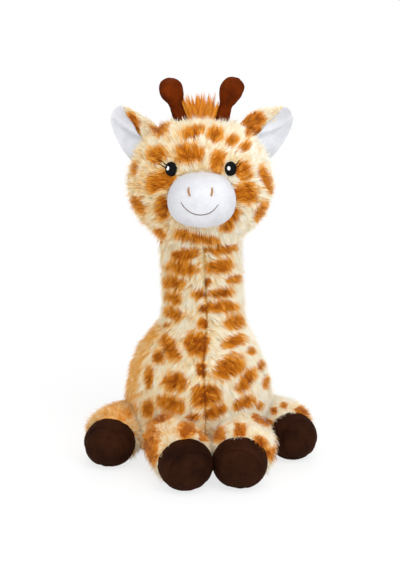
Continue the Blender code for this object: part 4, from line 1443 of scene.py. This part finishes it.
def floor_material():
    """Pale floor that keeps the shadow near the object and clears to white further out."""
    made, tree, shader = node_material("pale_floor", 0.9, specular=0.1)
    shade = ramp(tree, noise(tree, 3.0), ((0.3, (0.90,) * 3), (0.7, (0.92,) * 3)))
    tree.links.new(shade, shader.inputs["Base Color"])
    where = tree.nodes.new("ShaderNodeTexCoord").outputs["Object"]
    reach = tree.nodes.new("ShaderNodeVectorMath")
    reach.operation = "LENGTH"
    tree.links.new(where, reach.inputs[0])
    fade = tree.nodes.new("ShaderNodeMapRange")
    fade.interpolation_type = "SMOOTHSTEP"
    fade.inputs["From Min"].default_value = 0.12
    fade.inputs["From Max"].default_value = 0.40
    fade.inputs["To Min"].default_value = 0.74
    fade.inputs["To Max"].default_value = 1.0
    tree.links.new(reach.outputs["Value"], fade.inputs["Value"])
    camera_ray = tree.nodes.new("ShaderNodeLightPath").outputs["Is Camera Ray"]
    share = tree.nodes.new("ShaderNodeMath")
    share.operation = "MULTIPLY"
    tree.links.new(fade.outputs["Result"], share.inputs[0])
    tree.links.new(camera_ray, share.inputs[1])
    white = tree.nodes.new("ShaderNodeEmission")
    mix = tree.nodes.new("ShaderNodeMixShader")
    tree.links.new(share.outputs[0], mix.inputs[0])
    tree.links.new(shader.outputs[0], mix.inputs[1])
    tree.links.new(white.outputs[0], mix.inputs[2])
    tree.links.new(mix.outputs[0], tree.nodes["Material Output"].inputs["Surface"])
    return made


def make_stage():
    size = 6.0
    floor = mesh_object("floor", [(-size, -size, 0), (size, -size, 0), (size, size, 0),
                                  (-size, size, 0)], [(0, 1, 2, 3)], smooth=False)
    floor.data.materials.append(floor_material())

    world = bpy.data.worlds.new("studio")
    bpy.context.scene.world = world
    world.use_nodes = True
    tree = world.node_tree
    back = tree.nodes["Background"]
    back.inputs["Color"].default_value = (1, 1, 1, 1)
    path = tree.nodes.new("ShaderNodeLightPath")
    light = tree.nodes.new("ShaderNodeMapRange")
    light.inputs["To Min"].default_value = 0.60
    light.inputs["To Max"].default_value = 1.0
    tree.links.new(path.outputs["Is Camera Ray"], light.inputs["Value"])
    tree.links.new(light.outputs["Result"], back.inputs["Strength"])

    for name, spot, size, power in (
            ("key", (1.25, -1.35, 1.1), 1.2, 11), ("front", (-0.4, -1.9, 0.5), 1.5, 9),
            ("side", (-1.5, -0.5, 0.9), 1.2, 5), ("rim", (0.4, 1.4, 1.4), 1.0, 7),
            ("top", (0.2, -0.95, 1.55), 1.4, 15)):
        lamp = bpy.data.lights.new(name, "AREA")
        lamp.energy = power
        lamp.size = size
        made = bpy.data.objects.new(name, lamp)
        made.location = spot
        made.rotation_euler = (Vector((0, 0, 0.18)) - Vector(spot)).to_track_quat("-Z", "Y").to_euler()
        bpy.context.scene.collection.objects.link(made)

    lens = bpy.data.cameras.new("camera")
    lens.sensor_fit = "VERTICAL"
    lens.sensor_height = 36
    lens.lens = FOCAL_PIXELS * 36 / FRAME_HEIGHT
    lens.clip_start = 0.05
    lens.shift_x = (FRAME_WIDTH / 2 - AXIS_COLUMN) / FRAME_HEIGHT
    camera = bpy.data.objects.new("camera", lens)
    turn = Matrix((RIGHT, UP, -LOOK)).transposed().to_4x4()
    camera.matrix_world = Matrix.Translation(Vector(EYE_POINT)) @ turn
    bpy.context.scene.collection.objects.link(camera)
    bpy.context.scene.camera = camera
    bpy.context.scene.view_settings.view_transform = "Standard"


legs = [Leg(place + "_leg_" + side_name, side_sign, place == "front")
        for side_name, side_sign in SIDES for place in ("front", "hind")]
make_muzzle()
make_horns()
for limb in legs:
    make_hoof(limb)
make_body()
make_head()
make_eyes()
make_tuft()
make_ears()
for limb in legs:
    make_leg(limb)
make_tail()
make_stage()
